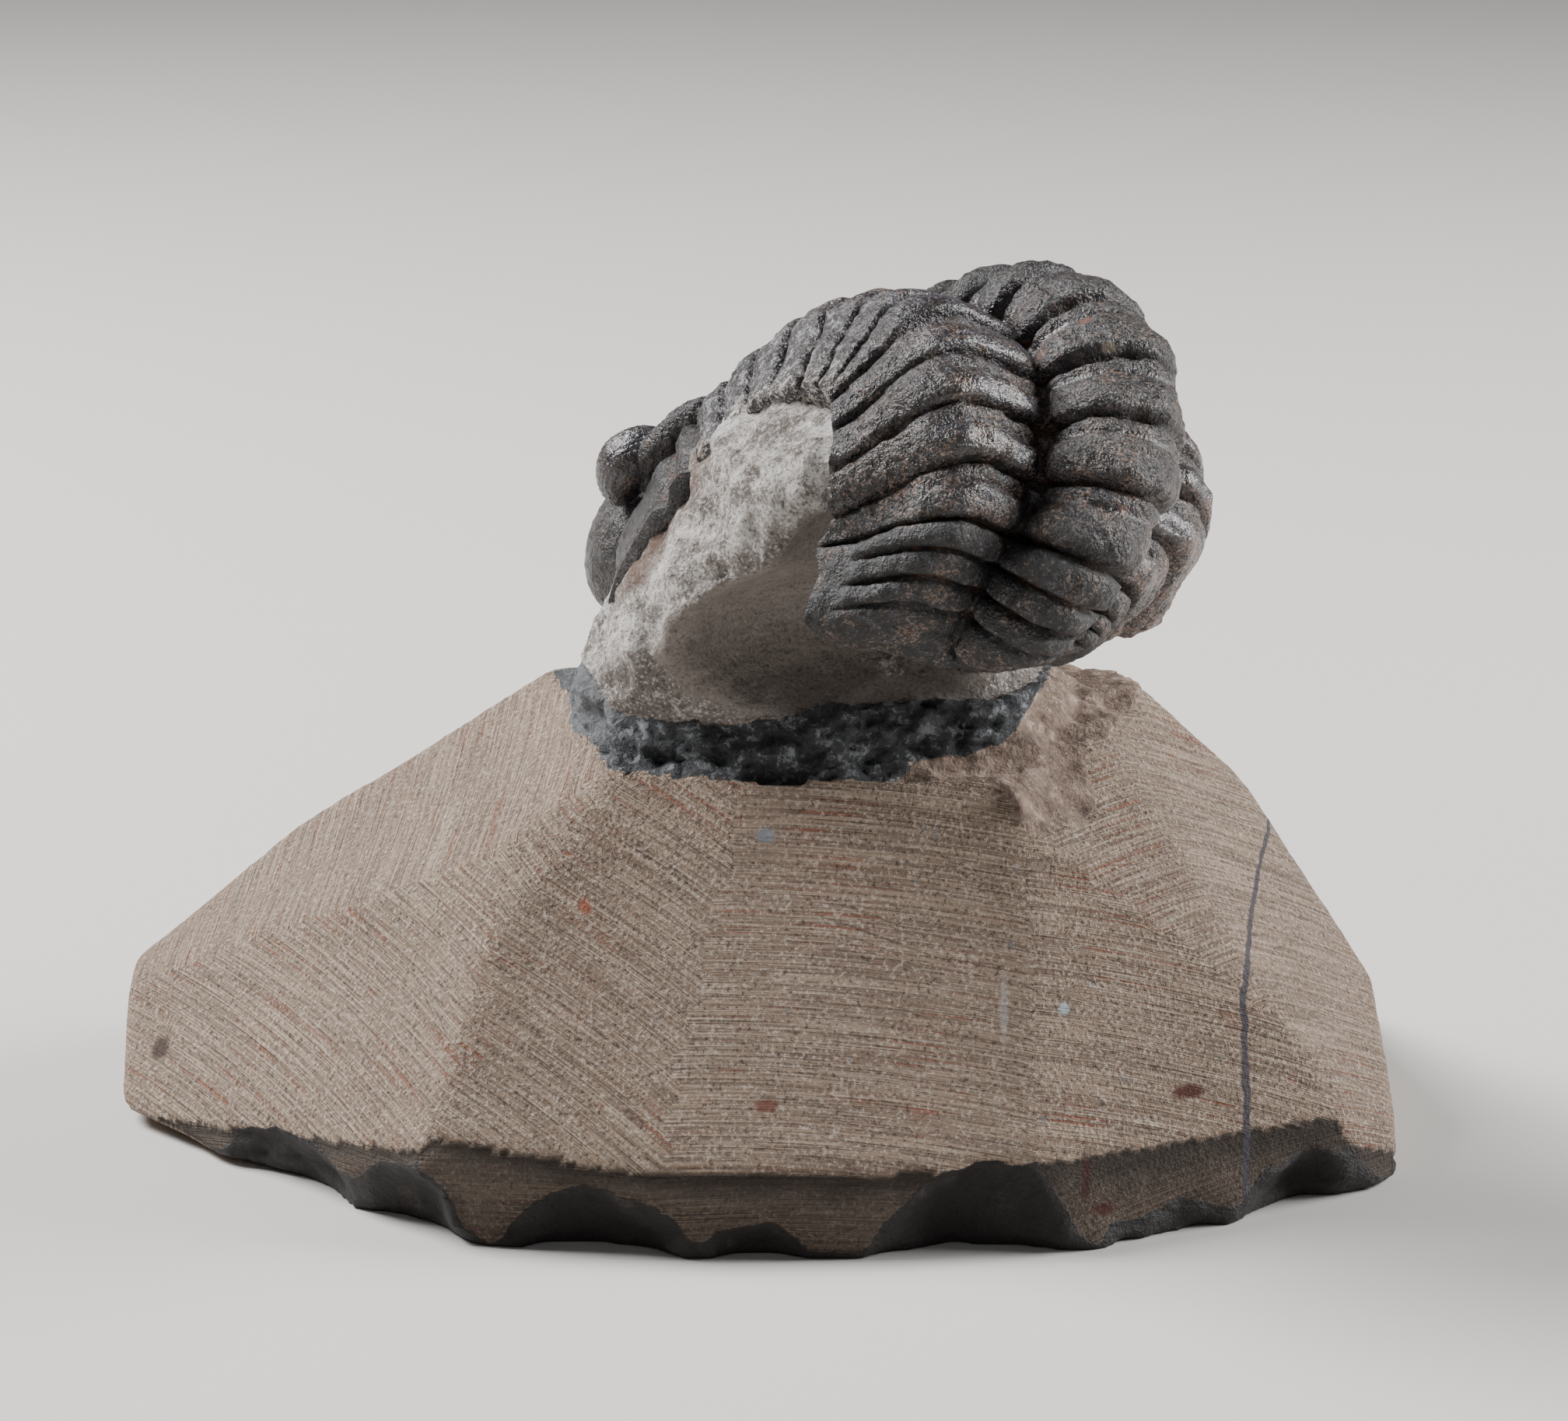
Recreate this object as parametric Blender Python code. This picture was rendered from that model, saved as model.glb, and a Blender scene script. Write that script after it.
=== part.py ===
"""Morocops trilobite fossil, arched over the neck of its limestone block.

Metres, +Z up. The origin is at the middle of the block's plan, on the surface that it stands on. The photographed
side faces -Y. Two solids: the black calcite trilobite, and the stone that it is still rooted in.
"""

import math

import bmesh
import bpy
import numpy as np
from mathutils import Matrix, Vector

MM = 0.001
GAP = 0.3 * MM
OBJECT_NAME = "morocops_trilobite_fossil"

# Limestone block
BLOCK_WIDTH = 75.2 * MM
BLOCK_DEPTH = 55.2 * MM
BLOCK_HEIGHT = 32.0 * MM

# Flats ground on the block: heading of the face's normal, its steepness, and its distance from the origin.
# Headings run from +X towards +Y. A steepness of 90 is an upright face and 180 faces the table.
GROUND_FLATS = {
    "shoulder": (275.0, 5.0, 25.5 * MM),
    "left_ridge": (200.0, 37.0, 26.8 * MM),
    "left_front": (221.0, 58.0, 27.8 * MM),
    "left_neck": (240.0, 50.0, 27.9 * MM),
    "front_left": (260.0, 58.0, 26.0 * MM),
    "front": (272.0, 60.0, 25.8 * MM),
    "front_right": (294.0, 62.0, 29.4 * MM),
    "right_neck": (314.0, 48.0, 31.7 * MM),
    "right_ridge": (338.0, 50.0, 32.6 * MM),
    "right_front": (325.0, 66.0, 36.2 * MM),
    "right_end": (13.0, 60.0, 34.4 * MM),
    "right_back": (49.0, 50.0, 27.3 * MM),
    "back_right": (62.0, 61.0, 27.6 * MM),
    "back": (90.0, 55.0, 24.6 * MM),
    "back_left": (133.0, 58.0, 27.0 * MM),
    "left_back": (115.0, 50.0, 21.7 * MM),
    "left_foot": (226.0, 84.0, 30.0 * MM),
    "front_left_foot": (257.2, 84.0, 28.0 * MM),
    "front_foot": (271.8, 82.0, 27.4 * MM),
    "front_right_foot": (290.0, 76.0, 29.5 * MM),
    "right_foot": (318.0, 84.0, 36.8 * MM),
    "left_underside": (192.0, 174.0, 2.4 * MM),
    "right_underside": (330.0, 168.0, 7.8 * MM),
    "back_underside": (95.0, 173.0, 2.3 * MM),
}

# Shell-shaped chips along the lower edge: centre and radius of the ball that each scar fits.
EDGE_CHIPS = {
    "left": ((-31.6, -19.0, 2.2), 6.5),
    "left_small": ((-24.7, -25.0, 0.5), 5.6),
    "front_left": ((-8.5, -34.4, 0.2), 8.6),
    "front": ((-1.5, -33.5, -0.6), 6.6),
    "front_right": ((10.5, -36.5, 0.0), 11.0),
    "right_small": ((21.5, -31.2, -1.0), 6.2),
    "right": ((33.9, -26.6, 0.5), 7.2),
    "back_right": ((23.0, 27.0, -4.5), 7.5),
    "back_left": ((-22.0, 27.0, -3.8), 7.5),
}
CHIP_SUBDIVISIONS = 3

# Neck of rock that rises from the shoulder: height, centre x and y, half-length, half-width, and the heading of
# its long axis. The two lowest levels are the dark broken rim, and the top one lies inside the trilobite's arch.
NECK_LEVELS = (
    (19.0, 4.4, -3.2, 15.6, 11.6, 2.0),
    (22.6, 4.3, -3.2, 15.2, 11.6, 2.0),
    (26.2, 4.2, -3.4, 14.6, 10.9, 4.0),
    (27.6, 4.0, -4.4, 13.6, 9.4, 10.0),
    (31.0, 3.4, -6.6, 12.4, 8.6, 20.0),
    (35.0, 3.8, -9.0, 10.6, 8.8, 26.0),
    (39.0, 5.6, -11.4, 8.6, 8.8, 30.0),
    (43.0, 6.6, -12.6, 8.6, 8.4, 34.0),
    (46.5, 9.6, -12.6, 7.0, 6.4, 34.0),
)
NECK_SIDES = 36
NECK_SQUARENESS = 2.5
NECK_LUMP = 0.35
NECK_LUMPS_ROUND = 7

# Hollows blasted out below the tail: centre, and half-size in x, y and z.
TAIL_HOLLOWS = (
    ((14.5, -21.0, 36.2), (12.6, 11.6, 7.2)),
    ((8.4, -21.6, 31.6), (13.6, 12.4, 6.2)),
)
HOLLOW_SEGMENTS = 20
HOLLOW_RINGS = 12

# Trilobite, laid out flat: its sizes along the line of the hinges.
SEGMENTS = 11
SEGMENT_LENGTH = 3.3 * MM
HEAD_LENGTH = 15.0 * MM
TAIL_LENGTH = 7.7 * MM
HALF_WIDTH = 12.9 * MM
AXIS_HALF_WIDTH = 4.1 * MM
AXIS_HEIGHT = 4.5 * MM
FLANK_START = 7.9 * MM
FLANK_RADIUS = 3.5 * MM
FLANK_SLOPE = math.radians(70)
REAR_BULGE = 0.06
BULGE_SPAN = (0.35, 0.62)
REAR_TAPER = 0.28
TAPER_SPAN = (0.8, 1.0)
HEAD_ROUNDNESS = 2.3
TAIL_ROUNDNESS = 2.0
TIP_THICKNESS = 1.4 * MM
BELLY_RISE = 1.4 * MM
TIP_SWEEP = 1.75 * MM
REAR_TIP_SWEEP = 2.5 * MM
SWEEP_SPAN = (0.0, 0.45)
REAR_SWEEP_SPAN = (0.55, 1.0)
SWEPT_FLANK = (0.25, 1.15)
TAIL_SHIFT = 2.6 * MM
SHIFT_SPAN = (0.8, 1.1)

# How far each joint bends, in degrees, from the one behind the head to the one before the tail.
JOINT_BENDS = (11.0, 11.0, 11.0, 10.5, 10.5, 12.0, 22.0, 18.0, 14.5, 15.0, 16.5)
HEAD_LIFT = 9.5
TAIL_CURL = 41.5
CREST_JOINT = 6
CREST_PITCH = 89.0

# Where the arch stands: the hinge line at its crest, the way the tail points, and its lean to the right side.
CREST = Vector((16.9, -10.7, 47.8)) * MM
TAIL_HEADING = math.radians(32.5)
LEAN = math.radians(26)

# Relief of the segments: heights are from the plain surface, and shares run from a segment's front to its rear.
JOINT_DEPTH = 0.85 * MM
JOINT_SHARE = 0.07
HALF_RING_SHARE = 0.3
HALF_RING_DROP = 0.7 * MM
HALF_RING_SWELL = 0.43 * MM
RING_SWELL = 0.45 * MM
RING_LEAN = 1.3
FRONT_BAND_SHARE = 0.33
FRONT_BAND_DROP = 0.43 * MM
FRONT_BAND_SWELL = 0.3 * MM
RIB_SWELL = 0.4 * MM
RIB_LEAN = 1.1
BAND_FADE = (0.35, 0.6)
FURROW_DEPTH = 0.4 * MM
FURROW_WIDTH = 0.5 * MM
PIT_DEPTH = 0.7 * MM

FULLNESS = 0.6

# Relief of the tail
TAIL_RINGS = 6
TAIL_RING_CROWDING = 1.25
TAIL_JOINT_DEPTH = 0.5 * MM
TAIL_BORDER = (0.74, 0.86)
TAIL_AXIS_NARROWING = 0.6
TAIL_AXIS_LOWERING = 0.55
TAIL_AXIS_END = (0.6, 1.0)
TAIL_RISE = 0.95

# Relief of the head: the rims behind and beside it, the furrows inside them, and where the axis gives way.
HEAD_RISE = 0.12
AXIS_SINKING = 0.8
AXIS_SINKS = (0.15, 0.35)
REAR_RIM = (0.8 * MM, 0.6 * MM, 0.35 * MM)
REAR_FURROW = (1.9 * MM, 0.5 * MM, -0.6 * MM)
SIDE_RIM_HEIGHT = 0.3 * MM
SIDE_RIM_START = (0.9, 0.96)
SIDE_FURROW = (0.85, 0.05, -0.4 * MM)

# Head lobes, measured from the joint behind the head: forward, to the side, and up.
GLABELLA_CENTRE = Vector((9.7, 0.0, 1.3)) * MM
GLABELLA_SIZE = Vector((7.2, 8.8, 5.0)) * MM
GLABELLA_BACK_TAPER = 0.42
EYE_CENTRE = Vector((6.0, 10.0, 1.3)) * MM
EYE_SIZE = Vector((2.9, 1.7, 2.5)) * MM
EYE_BEND = 0.9 * MM
EYE_CROWN = 0.8
LOBE_SEGMENTS = 16
LOBE_RINGS = 10

# Mesh of the trilobite
ROWS_IN_SEGMENT = (0.0, 0.14, 0.33, 0.62, 0.92)
HEAD_ROWS = 9
TAIL_ROWS = 11
ROW_CROWDING = 0.82
DORSAL_COLUMNS = 29
BELLY_COLUMNS = 7
AXIS_COLUMN_SHARE = 0.34
CURVE_SAMPLES = 600
LINE_MARGIN = 6.0 * MM
THORAX_LENGTH = SEGMENTS * SEGMENT_LENGTH
BODY_END = THORAX_LENGTH + TAIL_LENGTH
END_SHARE = 0.16
CLEARANCE_ROWS = 64
CLEARANCE_SWELL = 0.8 * MM
LOBE_CLEARANCE = 0.55 * MM
MERGE_DISTANCE = 0.01 * MM

MATERIALS = {
    "black_calcite": ((0.030, 0.027, 0.026, 1.0), 0.42),
    "limestone": ((0.420, 0.290, 0.205, 1.0), 0.92),
}


def clear_scene():
    for obj in list(bpy.data.objects):
        bpy.data.objects.remove(obj)


def new_collection(name):
    collection = bpy.data.collections.new(name)
    bpy.context.scene.collection.children.link(collection)
    return collection


def new_material(name):
    colour, roughness = MATERIALS[name]
    material = bpy.data.materials.new(name)
    material.use_nodes = True
    shader = material.node_tree.nodes["Principled BSDF"]
    shader.inputs["Base Color"].default_value = colour
    shader.inputs["Roughness"].default_value = roughness
    return material


def add_object(name, work, collection, material=None):
    """Turns a bmesh into an object in the collection."""
    mesh = bpy.data.meshes.new(name)
    work.to_mesh(mesh)
    work.free()
    obj = bpy.data.objects.new(name, mesh)
    collection.objects.link(obj)
    if material:
        mesh.materials.append(material)
    return obj


def as_cutter(obj):
    obj.hide_render = True
    obj.display_type = "WIRE"
    return obj


def add_boolean(obj, other, operation):
    modifier = obj.modifiers.new(f"{operation.lower()}_{other.name}", "BOOLEAN")
    modifier.operation = operation
    modifier.object = other


def smooth_step(value, low, high):
    share = np.clip((value - low) / (high - low), 0, 1)
    return share * share * (3 - 2 * share)


def swell(share, lean=1.0):
    """A full bump from 0 to 1 and back to 0, whose top leans towards the end where lean is over 1."""
    return np.sin(math.pi * np.clip(share, 0, 1) ** lean) ** FULLNESS


# Arch of the body


def tail_fraction(station):
    return np.clip((station - THORAX_LENGTH) / TAIL_LENGTH, 0, 1)


def head_fraction(station):
    return np.clip(-station / HEAD_LENGTH, 0, 1)


def pitch(station):
    """Angle of the body's normal from level, at each station along the hinge line."""
    joints = np.arange(SEGMENTS + 1) * SEGMENT_LENGTH
    bends = np.concatenate([[0.0], np.cumsum(JOINT_BENDS)])
    angles = CREST_PITCH + bends[CREST_JOINT] - bends
    angle = np.interp(station, joints, angles)
    lift = HEAD_LIFT * smooth_step(station, 0, -SEGMENT_LENGTH / 2)
    curl = TAIL_CURL * tail_fraction(station)
    return np.radians(angle - lift - curl)


def directions():
    """Level direction of the tail, direction to the animal's left, and its up direction, after the lean."""
    back = np.array([math.sin(TAIL_HEADING), -math.cos(TAIL_HEADING), 0.0])
    left = np.array([-math.cos(TAIL_HEADING), -math.sin(TAIL_HEADING), 0.0])
    up = np.array([0.0, 0.0, 1.0])
    leaned_left = left * math.cos(LEAN) + up * math.sin(LEAN)
    leaned_up = up * math.cos(LEAN) - left * math.sin(LEAN)
    return back, leaned_left, leaned_up


def hinge_line(station):
    """Points on the hinge line, the body's normals there, and the way to the tail."""
    back, _, up = directions()
    samples = np.linspace(-HEAD_LENGTH - LINE_MARGIN, BODY_END + LINE_MARGIN, CURVE_SAMPLES)
    angle = pitch(samples)
    steps = np.outer(np.sin(angle), back) - np.outer(np.cos(angle), up)
    middles = (steps[1:] + steps[:-1]) / 2 * np.diff(samples)[:, None]
    path = np.vstack([np.zeros(3), np.cumsum(middles, axis=0)])
    crest = [np.interp(CREST_JOINT * SEGMENT_LENGTH, samples, path[:, axis]) for axis in range(3)]
    path += np.array(CREST) - np.array(crest)
    points = np.stack([np.interp(station, samples, path[:, axis]) for axis in range(3)], axis=-1)
    angle = pitch(station)[..., None]
    return points, np.cos(angle) * back + np.sin(angle) * up, np.sin(angle) * back - np.cos(angle) * up


# Section across the body


def half_width(station):
    tail = (1 - tail_fraction(station) ** TAIL_ROUNDNESS) ** (1 / TAIL_ROUNDNESS)
    head = (1 - head_fraction(station) ** HEAD_ROUNDNESS) ** (1 / HEAD_ROUNDNESS)
    thorax = station / THORAX_LENGTH
    bulge = REAR_BULGE * smooth_step(thorax, *BULGE_SPAN)
    waist = 1 + bulge - REAR_TAPER * smooth_step(thorax, *TAPER_SPAN)
    return HALF_WIDTH * np.maximum(tail * head * waist, END_SHARE)


def axis_taper(station):
    """Width and height of the axial lobe as shares of those of the thorax."""
    tail = tail_fraction(station)
    narrow = 1 - TAIL_AXIS_NARROWING * tail
    low = (1 - TAIL_AXIS_LOWERING * tail) * (1 - smooth_step(tail, *TAIL_AXIS_END) / 2)
    sunk = 1 - AXIS_SINKING * smooth_step(head_fraction(station), *AXIS_SINKS)
    edge = half_width(station) / HALF_WIDTH
    return np.minimum(narrow, edge), low * sunk * np.minimum(1, 2 * edge)


def flank(arc):
    """Side and height of a point this far out from the furrow, on the section of the thorax."""
    level = FLANK_START - AXIS_HALF_WIDTH
    turn = np.clip((arc - level) / FLANK_RADIUS, 0, FLANK_SLOPE)
    straight = np.clip(arc - level - FLANK_RADIUS * FLANK_SLOPE, 0, None)
    side = np.minimum(arc, level) + FLANK_RADIUS * np.sin(turn) + straight * math.cos(FLANK_SLOPE)
    drop = FLANK_RADIUS * (1 - np.cos(turn)) + straight * math.sin(FLANK_SLOPE)
    return side, -drop


def flank_length():
    reach = HALF_WIDTH - FLANK_START - FLANK_RADIUS * math.sin(FLANK_SLOPE)
    return FLANK_START - AXIS_HALF_WIDTH + FLANK_RADIUS * FLANK_SLOPE + reach / math.cos(FLANK_SLOPE)


def flank_scale(station):
    """How much the flank is drawn in sideways, and how far it still drops."""
    width, _ = axis_taper(station)
    axis = AXIS_HALF_WIDTH * width
    side = (half_width(station) - axis) / (HALF_WIDTH - AXIS_HALF_WIDTH)
    drop = 1 - HEAD_RISE * head_fraction(station) - TAIL_RISE * tail_fraction(station)
    return axis, side, drop


def dorsal_section(station, across):
    """Side and height of the plain upper surface. across runs from 1 at the left tip to -1 at the right one."""
    out = np.abs(across)
    width, height = axis_taper(station)
    ring_turn = np.clip(out / AXIS_COLUMN_SHARE, 0, 1) * math.pi / 2
    axis, side_scale, drop_scale = flank_scale(station)
    pleura = np.clip((out - AXIS_COLUMN_SHARE) / (1 - AXIS_COLUMN_SHARE), 0, 1)
    side, fall = flank(pleura * flank_length())
    y = axis * np.sin(ring_turn) + side * side_scale
    z = AXIS_HEIGHT * height * np.cos(ring_turn) + fall * drop_scale
    return np.sign(across) * y, z, pleura


# Relief


def joint_gap(share):
    """1 in the gap between two segments, 0 on them."""
    near = np.minimum(share, 1 - share)
    return np.exp(-((near / JOINT_SHARE) ** 2))


def groove(place, line):
    """A raised or sunk line: line holds its middle, its width and its height."""
    middle, width, height = line
    return height * np.exp(-(((place - middle) / width) ** 2))


def ring_relief(share):
    part = HALF_RING_SHARE
    half_ring = HALF_RING_SWELL * swell(share / part) - HALF_RING_DROP
    ring = RING_SWELL * swell((share - part) / (1 - part), RING_LEAN)
    return np.where(share < part, half_ring, ring) - JOINT_DEPTH * joint_gap(share)


def rib_relief(share, pleura):
    """Two bands near the axis, one ridge on the outer flank."""
    part = FRONT_BAND_SHARE
    front_band = FRONT_BAND_SWELL * swell(share / part) - FRONT_BAND_DROP
    rear_band = RIB_SWELL * swell((share - part) / (1 - part), RIB_LEAN)
    inner = np.where(share < part, front_band, rear_band)
    outer = RIB_SWELL * swell(share, RING_LEAN)
    blend = smooth_step(pleura, *BAND_FADE)
    return inner * (1 - blend) + outer * blend - JOINT_DEPTH * joint_gap(share)


def furrow_relief(station, across, share):
    """The furrow along each side of the axis, with a pit at each joint."""
    spread = HALF_WIDTH / (1 - AXIS_COLUMN_SHARE)
    off = (np.abs(across) - AXIS_COLUMN_SHARE) * spread
    thorax = (station > 0) & (tail_fraction(station) <= 0)
    return groove(off, (0.0, FURROW_WIDTH, -FURROW_DEPTH - PIT_DEPTH * joint_gap(share) * thorax))


def tail_relief(station, across, pleura):
    phase = TAIL_RINGS * tail_fraction(station) ** TAIL_RING_CROWDING
    share = np.mod(phase, 1.0)
    inside = np.where(np.abs(across) < AXIS_COLUMN_SHARE, 1.0, 1 - smooth_step(pleura, *TAIL_BORDER))
    ribs = RIB_SWELL * swell(share, RING_LEAN) - TAIL_JOINT_DEPTH * joint_gap(share)
    return ribs * inside * (1 - tail_fraction(station))


def head_relief(station, across, pleura):
    """Raised rim along the back and the sides of the head, with a furrow inside it."""
    forward = -station
    rear_furrow = groove(forward, REAR_FURROW)
    rims = groove(forward, REAR_RIM) + SIDE_RIM_HEIGHT * smooth_step(pleura, *SIDE_RIM_START)
    cheek = rims + rear_furrow + groove(pleura, SIDE_FURROW)
    return np.where(np.abs(across) < AXIS_COLUMN_SHARE, rear_furrow, cheek)


def relief(station, across, pleura):
    share = np.mod(station / SEGMENT_LENGTH, 1.0)
    ring = np.abs(across) < AXIS_COLUMN_SHARE
    thorax = np.where(ring, ring_relief(share), rib_relief(share, pleura))
    shape = np.where(station < 0, head_relief(station, across, pleura), thorax)
    shape = np.where(tail_fraction(station) > 0, tail_relief(station, across, pleura), shape)
    ends = smooth_step(half_width(station) / HALF_WIDTH, END_SHARE, 0.5)
    return (shape + furrow_relief(station, across, share)) * ends


# Solid body


def sweep(station, pleura):
    """The tips are swept back along the thorax."""
    thorax = station / THORAX_LENGTH
    front = TIP_SWEEP * smooth_step(thorax, *SWEEP_SPAN)
    rear = REAR_TIP_SWEEP * smooth_step(thorax, *REAR_SWEEP_SPAN)
    return (front + rear) * (1 - tail_fraction(station) ** 3) * smooth_step(pleura, *SWEPT_FLANK)


def sideways_shift(station):
    """The tail sits a little to the left of the thorax."""
    return TAIL_SHIFT * smooth_step(station / THORAX_LENGTH, *SHIFT_SPAN)


def body_sections(stations, height, belly_gap):
    """Points of closed sections: over the back from left to right, then home along the belly."""
    station, across = np.meshgrid(stations, np.linspace(1, -1, DORSAL_COLUMNS), indexing="ij")
    y, z, pleura = dorsal_section(station, across)
    along_y = np.gradient(y, axis=1)
    along_z = np.gradient(z, axis=1)
    length = np.hypot(along_y, along_z)
    raised = height(station, across, pleura)
    back_y = y + raised * along_z / length
    back_z = z - raised * along_y / length
    belly_station, share = np.meshgrid(stations, np.linspace(-1, 1, BELLY_COLUMNS + 2)[1:-1], indexing="ij")
    belly_y = half_width(belly_station) * share
    belly_z = z[:, :1] - TIP_THICKNESS - belly_gap + BELLY_RISE * (1 - share**2)
    everywhere = np.hstack([station, belly_station])
    points, normals, backward = hinge_line(everywhere)
    swept = np.hstack([sweep(station, pleura), sweep(belly_station, np.abs(share))])
    sideways = np.hstack([back_y, belly_y]) + sideways_shift(everywhere)
    upward = np.hstack([back_z, belly_z])
    offset = backward * swept[..., None] + normals * upward[..., None]
    return points + offset + sideways[..., None] * directions()[1]


def even_swelling(station, across, pleura):
    """Height of the clearance that the stone keeps round the body's highest relief."""
    return np.full(station.shape, CLEARANCE_SWELL)


def wrapped_grid(points):
    """A closed tube from a flat grid: its rows are the sections, its side edges are joined and its ends capped."""
    rows, columns = points.shape[:2]
    work = bmesh.new()
    bmesh.ops.create_grid(work, x_segments=columns, y_segments=rows - 1, size=0.5)
    work.verts.ensure_lookup_table()
    for vert in work.verts:
        column = round((vert.co.x + 0.5) * columns)
        row = round((vert.co.y + 0.5) * (rows - 1))
        vert.co = points[row, column % columns]
    bmesh.ops.remove_doubles(work, verts=work.verts, dist=MERGE_DISTANCE)
    bmesh.ops.holes_fill(work, edges=[edge for edge in work.edges if edge.is_boundary])
    bmesh.ops.recalc_face_normals(work, faces=work.faces)
    bmesh.ops.triangulate(work, faces=work.faces)
    return work


def body_stations():
    head = -HEAD_LENGTH * np.linspace(1, 0, HEAD_ROWS, endpoint=False) ** ROW_CROWDING
    thorax = [(index + share) * SEGMENT_LENGTH for index in range(SEGMENTS) for share in ROWS_IN_SEGMENT]
    tail = THORAX_LENGTH + TAIL_LENGTH * np.linspace(0, 1, TAIL_ROWS) ** ROW_CROWDING
    return np.concatenate([head, thorax, tail])


def clearance_stations():
    return np.linspace(-HEAD_LENGTH - LOBE_CLEARANCE, BODY_END + LOBE_CLEARANCE, CLEARANCE_ROWS)


def head_frame():
    """Matrix from places forward, left and up on the head to the world. The head is lifted from the first joint."""
    points, normals, backward = hinge_line(np.array([0.0, -HEAD_LENGTH]))
    matrix = Matrix((-backward[1], directions()[1], normals[1])).transposed().to_4x4()
    matrix.translation = Vector(points[0])
    return matrix


def head_lobe(name, shape, swelling, collection):
    """A ball, shaped on the head's own axes and then put in place as a cutter."""
    work = bmesh.new()
    bmesh.ops.create_uvsphere(work, u_segments=LOBE_SEGMENTS, v_segments=LOBE_RINGS, radius=1)
    for vert in work.verts:
        vert.co = shape(vert.co.copy(), swelling)
    work.transform(head_frame())
    if work.calc_volume(signed=True) < 0:
        bmesh.ops.reverse_faces(work, faces=work.faces)
    return as_cutter(add_object(name, work, collection))


def grown(size, swelling):
    return Vector([length + swelling for length in size])


def glabella_shape(point, swelling):
    """The swollen middle of the head, narrower at the back."""
    point.y *= 1 - GLABELLA_BACK_TAPER * max(-point.x, 0)
    return GLABELLA_CENTRE + point * grown(GLABELLA_SIZE, swelling)


def eye_shape(point, swelling, side):
    """A kidney-shaped eye that bends round the head, with a low crown."""
    if point.z > 0:
        point.z *= EYE_CROWN
    place = EYE_CENTRE + point * grown(EYE_SIZE, swelling)
    place.y -= EYE_BEND * point.x**2
    place.y *= side
    return place


def left_eye_shape(point, swelling):
    return eye_shape(point, swelling, 1)


def right_eye_shape(point, swelling):
    return eye_shape(point, swelling, -1)


LOBES = {"glabella": glabella_shape, "left_eye": left_eye_shape, "right_eye": right_eye_shape}


def make_trilobite(parts, cutters):
    """Head, thorax and tail as one closed body, with the glabella and the eyes grown into it."""
    work = wrapped_grid(body_sections(body_stations(), relief, 0))
    body = add_object("trilobite", work, parts, new_material("black_calcite"))
    for name, shape in LOBES.items():
        add_boolean(body, head_lobe(name, shape, 0, cutters), "UNION")
    return body


# Stone


def face_normal(heading, steepness):
    heading = math.radians(heading)
    steepness = math.radians(steepness)
    level = math.sin(steepness)
    return Vector((level * math.cos(heading), level * math.sin(heading), math.cos(steepness)))


def ground_block(collection):
    """A sawn block with a flat ground on it for each named face."""
    work = bmesh.new()
    bmesh.ops.create_cube(work, size=1)
    size = Vector((BLOCK_WIDTH, BLOCK_DEPTH, BLOCK_HEIGHT))
    for vert in work.verts:
        vert.co = (vert.co + Vector((0, 0, 0.5))) * size
    for heading, steepness, distance in GROUND_FLATS.values():
        normal = face_normal(heading, steepness)
        everything = work.verts[:] + work.edges[:] + work.faces[:]
        bmesh.ops.bisect_plane(
            work, geom=everything, plane_co=normal * distance, plane_no=normal, clear_outer=True
        )
        bmesh.ops.holes_fill(work, edges=[edge for edge in work.edges if edge.is_boundary])
    bmesh.ops.recalc_face_normals(work, faces=work.faces)
    return add_object("matrix_stone", work, collection, new_material("limestone"))


def make_neck(collection):
    """Column of rock whose outline changes from level to level."""
    work = bmesh.new()
    bmesh.ops.create_cone(work, cap_ends=True, segments=NECK_SIDES, radius1=1, radius2=1, depth=1)
    uprights = [edge for edge in work.edges if edge.verts[0].co.z != edge.verts[1].co.z]
    last = len(NECK_LEVELS) - 1
    bmesh.ops.subdivide_edges(work, edges=uprights, cuts=last - 1)
    power = 2 / NECK_SQUARENESS
    for vert in work.verts:
        height, x, y, length, width, heading = NECK_LEVELS[round((vert.co.z + 0.5) * last)]
        turn = math.atan2(vert.co.y, vert.co.x)
        lump = 1 + NECK_LUMP / width * math.sin(NECK_LUMPS_ROUND * turn + height)
        along = math.copysign(abs(math.cos(turn)) ** power, math.cos(turn)) * length * lump
        aside = math.copysign(abs(math.sin(turn)) ** power, math.sin(turn)) * width * lump
        spun = Matrix.Rotation(math.radians(heading), 3, "Z") @ Vector((along, aside, 0))
        vert.co = (Vector((x, y, height)) + spun) * MM
    bmesh.ops.triangulate(work, faces=[face for face in work.faces if len(face.verts) == 4])
    return as_cutter(add_object("neck", work, collection))


def make_hollow(index, centre, size, collection):
    work = bmesh.new()
    bmesh.ops.create_uvsphere(work, u_segments=HOLLOW_SEGMENTS, v_segments=HOLLOW_RINGS, radius=1)
    for vert in work.verts:
        vert.co = (Vector(centre) + vert.co * Vector(size)) * MM
    return as_cutter(add_object(f"tail_hollow_{index}", work, collection))


def make_chip(name, centre, radius, collection):
    work = bmesh.new()
    bmesh.ops.create_icosphere(work, subdivisions=CHIP_SUBDIVISIONS, radius=radius * MM)
    bmesh.ops.translate(work, verts=work.verts, vec=Vector(centre) * MM)
    return as_cutter(add_object(f"chip_{name}", work, collection))


def make_clearance(collection):
    """Room for the trilobite in the stone, with a gap all round it."""
    work = wrapped_grid(body_sections(clearance_stations(), even_swelling, GAP))
    body = as_cutter(add_object("body_clearance", work, collection))
    lobes = [head_lobe(f"{name}_clearance", shape, LOBE_CLEARANCE, collection) for name, shape in LOBES.items()]
    return [body, *lobes]


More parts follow.
